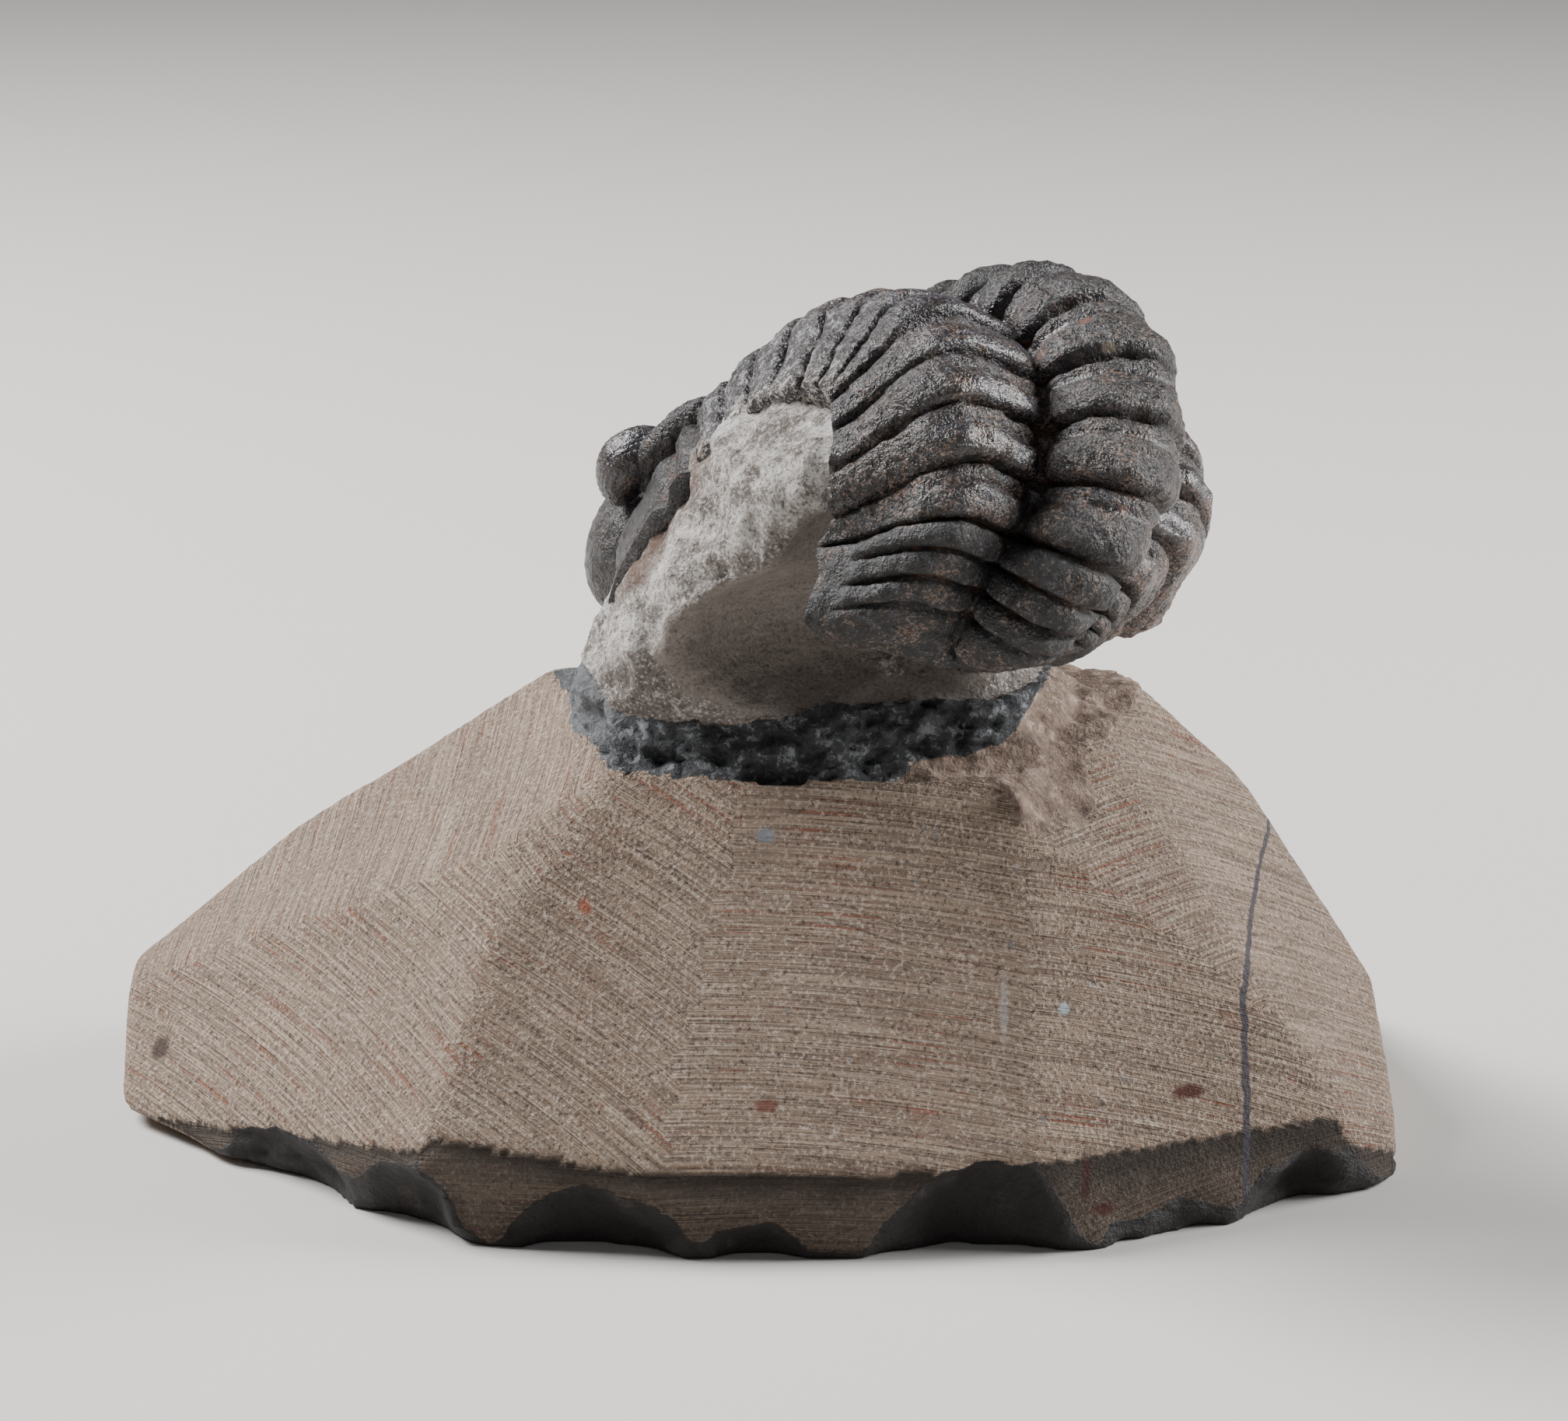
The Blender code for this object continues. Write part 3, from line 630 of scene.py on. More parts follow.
def shell_colour(tree, place, share, settings):
    """Near-black stone under grains, painted sheen, iron, wear, rock dust and stains, with painted shade on
    the tail and below the left eye.
    """
    # Painted sheen: grey for the smooth bands, with taupe patches and brown stains in it.
    smooth = layered(tree, share, settings.grey, ("#352e2b", "patches"), ("#5b4c44", "stains", 0.8))
    share["unstained"] = plus(tree, 1.0, (share["stains"], -1.0))
    return layered(
        tree, share, "#0f0e10",
        ("#1d1b1d", "clouds"),
        ("#353234", "grains", 0.5),
        ("#2c2019", "brown", "patches", 0.8),
        ("#554336", "brown", "grains", 0.6),
        # Painted sheen laid on the smooth bands and half rings.
        (smooth, "sheen", 0.75),
        ("#776052", "brown", "stains", "grains", 0.8),
        ("#a18b79", "brown", "stains", "grit", 0.6),
        ("#7d4a33", "brown", "rust", 0.7),
        ("#6f5449", "flank", "patches", 0.8),
        ("#b19c90", "flank", "grit", 0.5),
        ("#463b34", "border", 0.7),
        # Painted shade: the downward-facing tail darkened to near black where it isn't stained.
        ("#0b0a0a", "tail", "unstained", 0.9),
        ("#493a2f", "tail", "stains", "grains", 0.6),
        ("#65432f", "deep", "patches", 0.8),
        (ROCK_DUST, "deep", "stains", "wear", 0.8),
        ("#9a969d", "wear", "flakes", 0.85),
        (settings.wear, "wear", "flakes", "grit"),
        (settings.wear, "grit", "grains", "wear", 0.5),
        ("#070606", "black", 0.8),
        ("#a5937c", "specks", 0.6),
        ("#a79d93", "dusty", "flakes", 0.9),
        ("#d0c7bd", "dusty", "grit", 0.6),
        # Painted shade below and behind the left eye, with brown grains in it.
        ("#140f0d", "pit", 0.94),
        ("#5d493a", "pit", "stains", "grains", 0.8),
        *spots(tree, place, SHELL_SPOTS),
    )


def shell_bumps(tree, noise, share):
    """Terrace lines on the tail's border, and flakes, grains and grit where the shell isn't smooth."""
    ridges = product(tree, share["terrace"], 2 * math.pi / TERRACE_SPACING)
    ridges = add_node(tree, MATHS, {0: ridges}, operation="SINE")
    plain = plus(tree, 1.0, (product(tree, share["sheen"], 0.8), -1.0))
    normal = add_node(tree, BUMP, {"Height": noise["patches"], "Distance": 0.4 * MM, "Strength": 0.7})
    for height, distance, strength in (
        (ridges, 0.05 * MM, product(tree, share["border"], 0.9)),
        (noise["flakes"], 0.32 * MM, product(tree, plain, 0.9)),
        (noise["grains"], 0.16 * MM, product(tree, plain, 0.9)),
        (noise["grit"], 0.05 * MM, 0.8),
    ):
        normal = add_node(tree, BUMP, dict(zip(BUMP_INPUTS, (height, distance, strength, normal))))
    return normal


def calcite_material(settings):
    """Black calcite with the shell's own granules, freed by air abrasion and brushed clean.

    The eye sees a dark stone with a waxy gloss that breaks up on the granules, grey painted as sheen where
    bands are smooth, brown with iron towards the rear, pale where grains are worn, rock dust in the furrows,
    and painted shade on the tail and below the left eye.
    """
    material, tree, shader, place = new_material("black_calcite_air_abraded")
    paints = {name: add_node(tree, ATTRIBUTE, output="Fac", attribute_name=name) for name in SHELL_PAINTS}
    noise = add_rows(tree, NOISE, NOISE_INPUTS, {"place": place}, SHELL_NOISE)
    share = paints | add_rows(tree, STEP, STEP_INPUTS, noise | paints, SHELL_MASKS, **SMOOTH)
    dull = ((share["sheen"], -0.06), (noise["patches"], 0.3), (share["dusty"], 0.3), (share["tail"], 0.3))
    set_inputs(tree, shader, {
        "Base Color": shell_colour(tree, place, share, settings),
        "Roughness": plus(tree, 0.16, *dull),
        "IOR": 1.62,
        "Normal": shell_bumps(tree, noise, share),
    })
    return material


# Scratches on the ground faces: the width and the length of their noise on the UV map, in mm
SCRATCHES = {"broad": (0.7, 30.0), "middle": (0.2, 14.0), "thin": (0.11, 8.0)}
CROSSING_TURN = math.radians(14)
CROSSING_SIZE = (0.16, 10.0, 1)

# Noise on the ground faces and its masks, in the same order as for the shell
GROUND_NOISE = {
    "crossing": ("turned", 1.0, 2, 0.5),
    "broad": ("broad", 1.0, 2, 0.5),
    "middle": ("middle", 1.0, 3, 0.6),
    "thin": ("thin", 1.0, 2, 0.6),
    "blotches": ("place", PER_MM / 6.0, 4, 0.6),
    "areas": ("place", PER_MM / 14.0, 2, 0.5),
    "crumbs": ("place", PER_MM / 0.24, 3, 0.65),
    "flecks": ("place", PER_MM / 0.7, 3, 0.6),
}
GROUND_MASKS = {
    "broad": ("broad", 0.58, 0.7),
    "middle": ("middle", 0.43, 0.6),
    "thin": ("thin", 0.56, 0.68),
    "groove": ("thin", 0.42, 0.33),
    "crossing": ("crossing", 0.4, 0.3),
    "areas": ("areas", 0.35, 0.65),
    "blotches": ("blotches", 0.46, 0.58),
    "rust": ("middle", 0.43, 0.33),
    "crumbs": ("crumbs", 0.54, 0.64),
    "pores": ("crumbs", 0.42, 0.34),
    "slate": ("flecks", 0.66, 0.74),
    "iron": ("flecks", 0.3, 0.24),
}


def ground_places(tree, place):
    """Places on the ground faces, drawn out along the scratches."""
    across = add_node(tree, UV_MAP, uv_map=SCRATCH_MAP)
    places = {"place": place}
    for name, (width, length) in SCRATCHES.items():
        stretch = (1 / width, 1 / length, 1)
        places[name] = add_node(tree, MAPPING, {"Vector": across, "Scale": stretch}, vector_type="POINT")
    turned = {"Vector": across, "Rotation": (0, 0, CROSSING_TURN), "Scale": CROSSING_SIZE}
    places["turned"] = add_node(tree, MAPPING, turned, vector_type="TEXTURE")
    return places


def ground_colour(tree, place, settings):
    """Colour and height of the ground faces: straight scratches, crumbs, and rust and slate flecks."""
    noise = add_rows(tree, NOISE, NOISE_INPUTS, ground_places(tree, place), GROUND_NOISE)
    share = add_rows(tree, STEP, STEP_INPUTS, noise, GROUND_MASKS, **SMOOTH)
    colour = layered(
        tree, share, settings.ground_dark,
        (settings.ground, "middle"),
        ("#8f7a6a", "areas", 0.35),
        ("#6e5c50", "broad", 0.45),
        ("#cbb9a8", "thin", 0.6),
        ("#54463c", "groove", 0.65),
        ("#4d4037", "crossing", "areas", 0.7),
        ("#96533a", "rust", "blotches", 0.8),
        ("#d2c3b5", "crumbs", 0.6),
        ("#40352e", "pores", 0.8),
        ("#808488", "slate", 0.6),
        ("#94502f", "iron", "blotches", 0.7),
    )
    return colour, plus(tree, noise["middle"], (noise["crumbs"], 0.8), (noise["thin"], 0.6))


# Noise in the broken and blasted rock and its masks, in the same order as for the shell
ROCK_NOISE = {
    "powder": ("place", PER_MM / 2.0, 8, 0.78),
    "pits": ("place", PER_MM / 0.9, 4, 0.65),
    "dust": ("place", PER_MM / 0.22, 3, 0.65),
    "splinters": ("place", PER_MM / 1.1, 6, 0.74),
    "bruises": ("place", PER_MM / 2.6, 6, 0.7),
    "beds": ("level", PER_MM / 0.6, 4, 0.6),
}
ROCK_MASKS = {
    "powder": ("powder", 0.4, 0.6),
    "pits": ("pits", 0.43, 0.33),
    "bright": ("pits", 0.55, 0.66),
    "dust": ("dust", 0.46, 0.36),
    "chalk": ("dust", 0.54, 0.64),
    "splinters": ("splinters", 0.52, 0.62),
    "cracks": ("splinters", 0.47, 0.39),
    "bruises": ("bruises", 0.56, 0.72),
    "beds": ("beds", 0.42, 0.62),
}
ROCK_PAINTS = ("neck", "hollow", "rim", "chip", "crumb", "pale", "smooth_rim", "shaded_crease", "foot", "stain")
TORN_ZONES = ("neck", "hollow", "crumb", "rim", "chip")
BED_STRETCH = (0.25, 0.25, 1)


def rock_colour(tree, share, ground, settings):
    """Blasted neck, smooth hollow, rubble, slate rim and chips' scars, laid over the ground faces."""
    blasted = layered(
        tree, share, NECK_SHADE,
        (settings.neck, "powder"),
        (NECK_WHITE, "bright", 0.6),
        # Pale upper neck: painted light where the neck's top is lit, and pale rock powder beside the ribs.
        (NECK_WHITE, "pale", "powder", 0.85),
        ("#665e57", "pits", 0.5),
        ("#ded8d2", "chalk", 0.6),
        ("#463e38", "dust", 0.65),
        ("#5f4433", "stain", "powder", 0.85),
    )
    smooth = layered(
        tree, share, "#7d746d",
        ("#958c85", "beds", 0.4),
        ("#a39b94", "chalk", 0.4),
        ("#5d554f", "pits", 0.4),
        ("#453d37", "dust", 0.5),
    )
    slate = layered(
        tree, share, settings.rim,
        (RIM_PALE, "splinters", 0.95),
        ("#151617", "cracks", 0.9),
        ("#8d8f92", "smooth_rim", 0.8),
    )
    rubble = layered(
        tree, share, "#9b8676",
        ("#7a675a", "powder"),
        ("#c7b3a3", "splinters", 0.6),
        ("#4a3e36", "cracks", 0.6),
    )
    scar = layered(tree, share, CHIP_BROWN, (CHIP_PALE, "bruises", 0.7), ("#1c1816", "dust"))
    return layered(
        tree, share, ground,
        (blasted, "neck_edge"),
        (smooth, "hollow_edge", "neck_edge"),
        (rubble, "crumb_edge"),
        (slate, "rim_edge"),
        (scar, "chip_edge"),
    )


def rock_bumps(tree, place, noise, share, scratches):
    """Scratches on the ground faces, crumbs on the broken and blasted ones, and splinters on the rim."""
    broken = share["neck_edge"]
    for name in ("rim_edge", "chip_edge", "crumb_edge"):
        broken = add_node(tree, MATHS, {0: broken, 1: share[name]}, operation="MAXIMUM")
    flakes = add_node(tree, CELLS, {"Vector": place, "Scale": PER_MM / 1.3}, "Distance", feature="F1")
    flakes = product(tree, flakes, share["neck_edge"], plus(tree, 1.0, (share["hollow"], -1.0)))
    crumbs = plus(tree, noise["powder"], (noise["pits"], 1.3), (noise["dust"], 0.4), (flakes, 1.1))
    height = add_node(tree, MIX, {0: broken, 2: scratches, 3: crumbs}, data_type="FLOAT")
    normal = add_node(tree, BUMP, {"Height": height, "Distance": 0.34 * MM, "Strength": 1.0})
    splinters = (noise["splinters"], 1.2 * MM, share["rim_edge"], normal)
    return add_node(tree, BUMP, dict(zip(BUMP_INPUTS, splinters)))


def limestone_material(settings):
    """Fine limestone, ground with a coarse wheel, blasted round the fossil and broken along its foot.

    The eye sees tan faces with straight scratches and crumbs, a powdery pale grey neck whose upper part is
    paler partly as painted light, smooth brown-grey where the hollow was blasted, a splintered slate-blue rim,
    dark unweathered rock in the chips, and painted shade on the foot faces and in the crease above them.
    """
    material, tree, shader, place = new_material("limestone_ground_and_blasted")
    level = add_node(tree, MAPPING, {"Vector": place, "Scale": BED_STRETCH}, vector_type="POINT")
    share = {name: add_node(tree, ATTRIBUTE, output="Fac", attribute_name=name) for name in ROCK_PAINTS}
    noise = add_rows(tree, NOISE, NOISE_INPUTS, {"place": place, "level": level}, ROCK_NOISE)
    ragged = plus(tree, -0.35, (noise["pits"], 0.7))
    torn = {f"{name}_edge": (plus(tree, ragged, (share[name], 1.0)), 0.4, 0.6) for name in TORN_ZONES}
    share |= add_rows(tree, STEP, STEP_INPUTS, noise, ROCK_MASKS | torn, **SMOOTH)
    ground, scratches = ground_colour(tree, place, settings)
    # Painted shade: the foot faces darkened, and a dark line in the crease above them.
    ground = layered(tree, share, ground, ("#2f261f", "foot", 0.75), ("#2b231e", "shaded_crease", 0.8))
    ground = stained(tree, place, ground)
    set_inputs(tree, shader, {
        "Base Color": rock_colour(tree, share, ground, settings),
        "Roughness": plus(tree, 0.86, (share["chip_edge"], -0.3), (share["rim_edge"], -0.25)),
        "IOR": 1.5,
        "Normal": rock_bumps(tree, place, noise, share, scratches),
    })
    return material


# Marks on the ground faces, in mm: centre, radius, colour, and how strong it is
MARKS = (
    ((24.9, -21.1, 7.5), (1.2, 1.2, 0.4), "#4f1f16", 0.9),
    ((1.2, -25.0, 8.2), (0.7, 0.9, 0.35), "#6f3526", 0.8),
    ((-35.1, -5.4, 4.5), (0.8, 0.8, 0.8), "#41322a", 0.9),
    ((18.9, -24.4, 4.1), (0.35, 1.6, 1.3), "#3c1712", 0.9),
    ((19.9, -24.6, 2.2), (0.9, 1.6, 0.4), "#4a1d15", 0.85),
    ((17.8, -21.3, 12.5), (0.35, 0.8, 0.35), "#b4c4ce", 0.8),
    ((14.4, -22.0, 12.6), (0.22, 1.2, 3.2), "#b9b4b2", 0.45),
    ((1.2, -17.4, 21.4), (0.5, 0.7, 0.35), "#7f8b98", 0.7),
    ((-9.0, -18.8, 17.6), (0.5, 1.0, 0.5), "#9c4a2c", 0.7),
    ((-6.1, -20.4, 17.6), (0.5, 1.0, 0.4), "#93a0a6", 0.6),
)

# Thin slate vein down the right side, in mm: where it crosses, how fast it bends, from which height, and its
# half-width. It lies on the front only, and ends between two places along y.
VEIN_PLACE = 28.2
VEIN_BEND = 0.09
VEIN_BEND_HEIGHT = 11.0
VEIN_HALF_WIDTH = 0.2
VEIN_WANDER = 0.6
VEIN_END = (4 * MM, 3 * MM)


def stained(tree, place, colour):
    """Lays the marks and the thin vein over the ground faces."""
    x, y, z = (add_node(tree, AXES, {0: place}, axis) for axis in "XYZ")
    climb = plus(tree, -VEIN_BEND_HEIGHT * MM, (z, 1.0))
    climb = add_node(tree, MATHS, {0: climb, 1: 0.0}, operation="MAXIMUM")
    bend = product(tree, climb, climb, VEIN_BEND / MM)
    uneven = add_node(tree, NOISE, {"Vector": place, **WANDER})
    middle = (VEIN_PLACE + VEIN_WANDER / 2) * MM
    line = plus(tree, x, (bend, -1.0), (uneven, VEIN_WANDER * MM), (-1.0, middle))
    line = add_node(tree, MATHS, {0: line}, operation="ABSOLUTE")
    vein = add_rows(tree, STEP, STEP_INPUTS, {}, {
        "line": (line, VEIN_HALF_WIDTH * 1.4 * MM, VEIN_HALF_WIDTH * 0.7 * MM),
        "front": (y, *VEIN_END),
    }, **SMOOTH)
    return layered(tree, vein, colour, *spots(tree, place, MARKS), (VEIN_BLUE, "line", "front", 0.9))


def card_material(settings):
    """Matt paper card, as rolled: pale and even, with only a faint mottle."""
    material, tree, shader, place = new_material("matt_paper_card")
    mottle = add_node(tree, NOISE, {"Vector": place, "Scale": PER_MM / 60})
    colour = layered(tree, {}, settings.floor, ("#b3b0ac", mottle, 0.1))
    set_inputs(tree, shader, {"Base Color": colour, "Roughness": 0.75})
    return material


# Arch of the trilobite's body


def tail_fraction(station):
    return np.clip((station - THORAX_LENGTH) / TAIL_LENGTH, 0, 1)


def head_fraction(station):
    return np.clip(-station / HEAD_LENGTH, 0, 1)


def pitch(station):
    """Angle of the body's normal from level, at each station along the hinge line."""
    joints = np.arange(SEGMENTS + 1) * SEGMENT_LENGTH
    bends = np.concatenate([[0.0], np.cumsum(JOINT_BENDS)])
    angles = CREST_PITCH + bends[CREST_JOINT] - bends
    angle = np.interp(station, joints, angles)
    lift = HEAD_LIFT * smooth_step(station, 0, -SEGMENT_LENGTH / 2)
    curl = TAIL_CURL * tail_fraction(station)
    return np.radians(angle - lift - curl)


def directions():
    """Level direction of the tail, direction to the animal's left, and its up direction, after the lean."""
    back = np.array([math.sin(TAIL_HEADING), -math.cos(TAIL_HEADING), 0.0])
    left = np.array([-math.cos(TAIL_HEADING), -math.sin(TAIL_HEADING), 0.0])
    up = np.array([0.0, 0.0, 1.0])
    leaned_left = left * math.cos(LEAN) + up * math.sin(LEAN)
    leaned_up = up * math.cos(LEAN) - left * math.sin(LEAN)
    return back, leaned_left, leaned_up


def hinge_line(station):
    """Points on the hinge line, the body's normals there, and the way to the tail."""
    back, _, up = directions()
    samples = np.linspace(-HEAD_LENGTH - LINE_MARGIN, BODY_END + LINE_MARGIN, CURVE_SAMPLES)
    angle = pitch(samples)
    steps = np.outer(np.sin(angle), back) - np.outer(np.cos(angle), up)
    middles = (steps[1:] + steps[:-1]) / 2 * np.diff(samples)[:, None]
    path = np.vstack([np.zeros(3), np.cumsum(middles, axis=0)])
    crest = [np.interp(CREST_JOINT * SEGMENT_LENGTH, samples, path[:, axis]) for axis in range(3)]
    path += CREST - np.array(crest)
    points = np.stack([np.interp(station, samples, path[:, axis]) for axis in range(3)], axis=-1)
    angle = pitch(station)[..., None]
    return points, np.cos(angle) * back + np.sin(angle) * up, np.sin(angle) * back - np.cos(angle) * up


# Section across the body


def half_width(station):
    tail = (1 - tail_fraction(station) ** TAIL_ROUNDNESS) ** (1 / TAIL_ROUNDNESS)
    head = (1 - head_fraction(station) ** HEAD_ROUNDNESS) ** (1 / HEAD_ROUNDNESS)
    thorax = station / THORAX_LENGTH
    bulge = REAR_BULGE * smooth_step(thorax, *BULGE_SPAN)
    waist = 1 + bulge - REAR_TAPER * smooth_step(thorax, *TAPER_SPAN)
    return HALF_WIDTH * np.maximum(tail * head * waist, END_SHARE)


def axis_taper(station):
    """Width and height of the axial lobe as shares of those of the thorax."""
    tail = tail_fraction(station)
    narrow = 1 - TAIL_AXIS_NARROWING * tail
    low = (1 - TAIL_AXIS_LOWERING * tail) * (1 - smooth_step(tail, *TAIL_AXIS_END) / 2)
    sunk = 1 - AXIS_SINKING * smooth_step(head_fraction(station), *AXIS_SINKS)
    edge = half_width(station) / HALF_WIDTH
    return np.minimum(narrow, edge), low * sunk * np.minimum(1, 2 * edge)


def flank(arc):
    """Side and height of a point this far out from the furrow, on the section of the thorax."""
    level = FLANK_START - AXIS_HALF_WIDTH
    turn = np.clip((arc - level) / FLANK_RADIUS, 0, FLANK_SLOPE)
    straight = np.clip(arc - level - FLANK_RADIUS * FLANK_SLOPE, 0, None)
    side = np.minimum(arc, level) + FLANK_RADIUS * np.sin(turn) + straight * math.cos(FLANK_SLOPE)
    drop = FLANK_RADIUS * (1 - np.cos(turn)) + straight * math.sin(FLANK_SLOPE)
    return side, -drop


def flank_length():
    reach = HALF_WIDTH - FLANK_START - FLANK_RADIUS * math.sin(FLANK_SLOPE)
    return FLANK_START - AXIS_HALF_WIDTH + FLANK_RADIUS * FLANK_SLOPE + reach / math.cos(FLANK_SLOPE)


def dorsal_section(station, across):
    """Side and height of the plain upper surface. Across runs from 1 at the left tip to -1 at the right."""
    out = np.abs(across)
    width, height = axis_taper(station)
    axis = AXIS_HALF_WIDTH * width
    side_scale = (half_width(station) - axis) / (HALF_WIDTH - AXIS_HALF_WIDTH)
    drop_scale = 1 - HEAD_RISE * head_fraction(station) - TAIL_RISE * tail_fraction(station)
    ring_turn = np.clip(out / AXIS_COLUMN_SHARE, 0, 1) * math.pi / 2
    pleura = np.clip((out - AXIS_COLUMN_SHARE) / (1 - AXIS_COLUMN_SHARE), 0, 1)
    side, fall = flank(pleura * flank_length())
    y = axis * np.sin(ring_turn) + side * side_scale
    z = AXIS_HEIGHT * height * np.cos(ring_turn) + fall * drop_scale
    return np.sign(across) * y, z, pleura


# Relief of the trilobite


def joint_gap(share):
    """1 in the gap between two segments, 0 on them."""
    near = np.minimum(share, 1 - share)
    return np.exp(-((near / JOINT_SHARE) ** 2))


def ring_relief(share):
    part = HALF_RING_SHARE
    half_ring = HALF_RING_SWELL * swell(share / part) - HALF_RING_DROP
    ring = RING_SWELL * swell((share - part) / (1 - part), RING_LEAN)
    return np.where(share < part, half_ring, ring) - JOINT_DEPTH * joint_gap(share)


def rib_relief(share, pleura):
    """Two bands near the axis, one ridge on the outer flank."""
    part = FRONT_BAND_SHARE
    front_band = FRONT_BAND_SWELL * swell(share / part) - FRONT_BAND_DROP
    rear_band = RIB_SWELL * swell((share - part) / (1 - part), RIB_LEAN)
    inner = np.where(share < part, front_band, rear_band)
    outer = RIB_SWELL * swell(share, RING_LEAN)
    blend = smooth_step(pleura, *BAND_FADE)
    return inner * (1 - blend) + outer * blend - JOINT_DEPTH * joint_gap(share)


def furrow_relief(station, across, share):
    """The furrow along each side of the axis, with a pit at each joint."""
    spread = HALF_WIDTH / (1 - AXIS_COLUMN_SHARE)
    off = (np.abs(across) - AXIS_COLUMN_SHARE) * spread
    thorax = (station > 0) & (tail_fraction(station) <= 0)
    return groove(off, (0.0, FURROW_WIDTH, -FURROW_DEPTH - PIT_DEPTH * joint_gap(share) * thorax))


def tail_relief(station, across, pleura):
    phase = TAIL_RINGS * tail_fraction(station) ** TAIL_RING_CROWDING
    share = np.mod(phase, 1.0)
    flat = np.where(across < 0, smooth_step(pleura, *RIGHT_TAIL_BORDER), smooth_step(pleura, *TAIL_BORDER))
    inside = np.where(np.abs(across) < AXIS_COLUMN_SHARE, 1.0, 1 - flat)
    ribs = RIB_SWELL * swell(share, RING_LEAN) - TAIL_JOINT_DEPTH * joint_gap(share)
    return ribs * inside * (1 - tail_fraction(station) ** 2)


def head_relief(station, across, pleura):
    """Raised rim along the back and the sides of the head, with a furrow inside it."""
    forward = -station
    rear_furrow = groove(forward, REAR_FURROW)
    rims = groove(forward, REAR_RIM) + SIDE_RIM_HEIGHT * smooth_step(pleura, *SIDE_RIM_START)
    cheek = rims + rear_furrow + groove(pleura, SIDE_FURROW)
    return np.where(np.abs(across) < AXIS_COLUMN_SHARE, rear_furrow, cheek)


def relief(station, across, pleura):
    share = np.mod(station / SEGMENT_LENGTH, 1.0)
    ring = np.abs(across) < AXIS_COLUMN_SHARE
    thorax = np.where(ring, ring_relief(share), rib_relief(share, pleura))
    shape = np.where(station < 0, head_relief(station, across, pleura), thorax)
    shape = np.where(tail_fraction(station) > 0, tail_relief(station, across, pleura), shape)
    ends = smooth_step(half_width(station) / HALF_WIDTH, END_SHARE, 0.5)
    return (shape + furrow_relief(station, across, share)) * ends


def sweep(station, pleura):
    """The tips are swept back along the thorax."""
    thorax = station / THORAX_LENGTH
    front = TIP_SWEEP * smooth_step(thorax, *SWEEP_SPAN)
    rear = REAR_TIP_SWEEP * smooth_step(thorax, *REAR_SWEEP_SPAN)
    return (front + rear) * (1 - tail_fraction(station) ** 3) * smooth_step(pleura, *SWEPT_FLANK)


def sideways_shift(station):
    """The tail sits a little to the left of the thorax."""
    return TAIL_SHIFT * smooth_step(station / THORAX_LENGTH, *SHIFT_SPAN)


def reach(station, across):
    """How far the flanks reach: the right one less towards the rear, the left one more at the tail."""
    squeeze = smooth_step(station / THORAX_LENGTH, *RIGHT_SPAN) * smooth_step(-across, *SIDE_SPAN)
    spread = smooth_step(tail_fraction(station), *LEFT_TAIL_SPAN) * smooth_step(across, *SIDE_SPAN)
    return 1 - RIGHT_NARROWING * squeeze + LEFT_TAIL_FULLNESS * spread


def body_sections(stations):
    """Points of closed sections, and what the materials need to know of each point."""
    station, across = np.meshgrid(stations, np.linspace(1, -1, DORSAL_COLUMNS), indexing="ij")
    y, z, pleura = dorsal_section(station, across)
    along_y = np.gradient(y, axis=1)
    along_z = np.gradient(z, axis=1)
    length = np.hypot(along_y, along_z)
    raised = relief(station, across, pleura)
    lowered = FRONT_LOWERING * smooth_step(station / THORAX_LENGTH, *FRONT_SPAN)
    back_y = (y + raised * along_z / length) * reach(station, across)
    back_z = z - raised * along_y / length - lowered
    belly_station, share = np.meshgrid(stations, np.linspace(-1, 1, BELLY_COLUMNS + 2)[1:-1], indexing="ij")
    belly_y = half_width(belly_station) * share * reach(belly_station, share)
    belly_z = z[:, :1] - TIP_THICKNESS + BELLY_RISE * (1 - share**2)
    everywhere = np.hstack([station, belly_station])
    points, normals, backward = hinge_line(everywhere)
    swept = np.hstack([sweep(station, pleura), sweep(belly_station, np.abs(share))])
    sideways = np.hstack([back_y, belly_y])
    swept += TAIL_TWIST * sideways * smooth_step(tail_fraction(everywhere), *TWIST_SPAN)
    sideways += sideways_shift(everywhere)
    upward = np.hstack([back_z, belly_z])
    offset = backward * swept[..., None] + normals * upward[..., None]
    places = points + offset + sideways[..., None] * directions()[1]
    belly = np.zeros(belly_station.shape)
    facts = {
        "ridge": np.hstack([raised / RIB_SWELL, belly]),
        "pleura": np.hstack([pleura, belly + 1]),
        "side": np.hstack([across, share]),
        "station": everywhere / THORAX_LENGTH,
    }
    return places, facts


def wrapped_grid(points, facts):
    """A closed tube from a flat grid. Its rows are the sections, its sides are joined, its ends capped."""
    rows, columns = points.shape[:2]
    work = bmesh.new()
    bmesh.ops.create_grid(work, x_segments=columns, y_segments=rows - 1, size=0.5)
    layers = {name: work.verts.layers.float.new(name) for name in facts}
    work.verts.ensure_lookup_table()
    for vert in work.verts:
        column = round((vert.co.x + 0.5) * columns) % columns
        row = round((vert.co.y + 0.5) * (rows - 1))
        vert.co = points[row, column]
        for name, layer in layers.items():
            vert[layer] = facts[name][row, column]
    bmesh.ops.remove_doubles(work, verts=work.verts, dist=MERGE_DISTANCE)
    bmesh.ops.holes_fill(work, edges=[edge for edge in work.edges if edge.is_boundary])
    bmesh.ops.recalc_face_normals(work, faces=work.faces)
    return work


def body_stations():
    head = -HEAD_LENGTH * np.linspace(1, 0, HEAD_ROWS, endpoint=False) ** ROW_CROWDING
    thorax = np.arange(SEGMENTS * ROWS_IN_SEGMENT) / ROWS_IN_SEGMENT * SEGMENT_LENGTH
    tail = THORAX_LENGTH + TAIL_LENGTH * np.linspace(0, 1, TAIL_ROWS) ** ROW_CROWDING
    return np.concatenate([head, thorax, tail])


# Lobes of the head


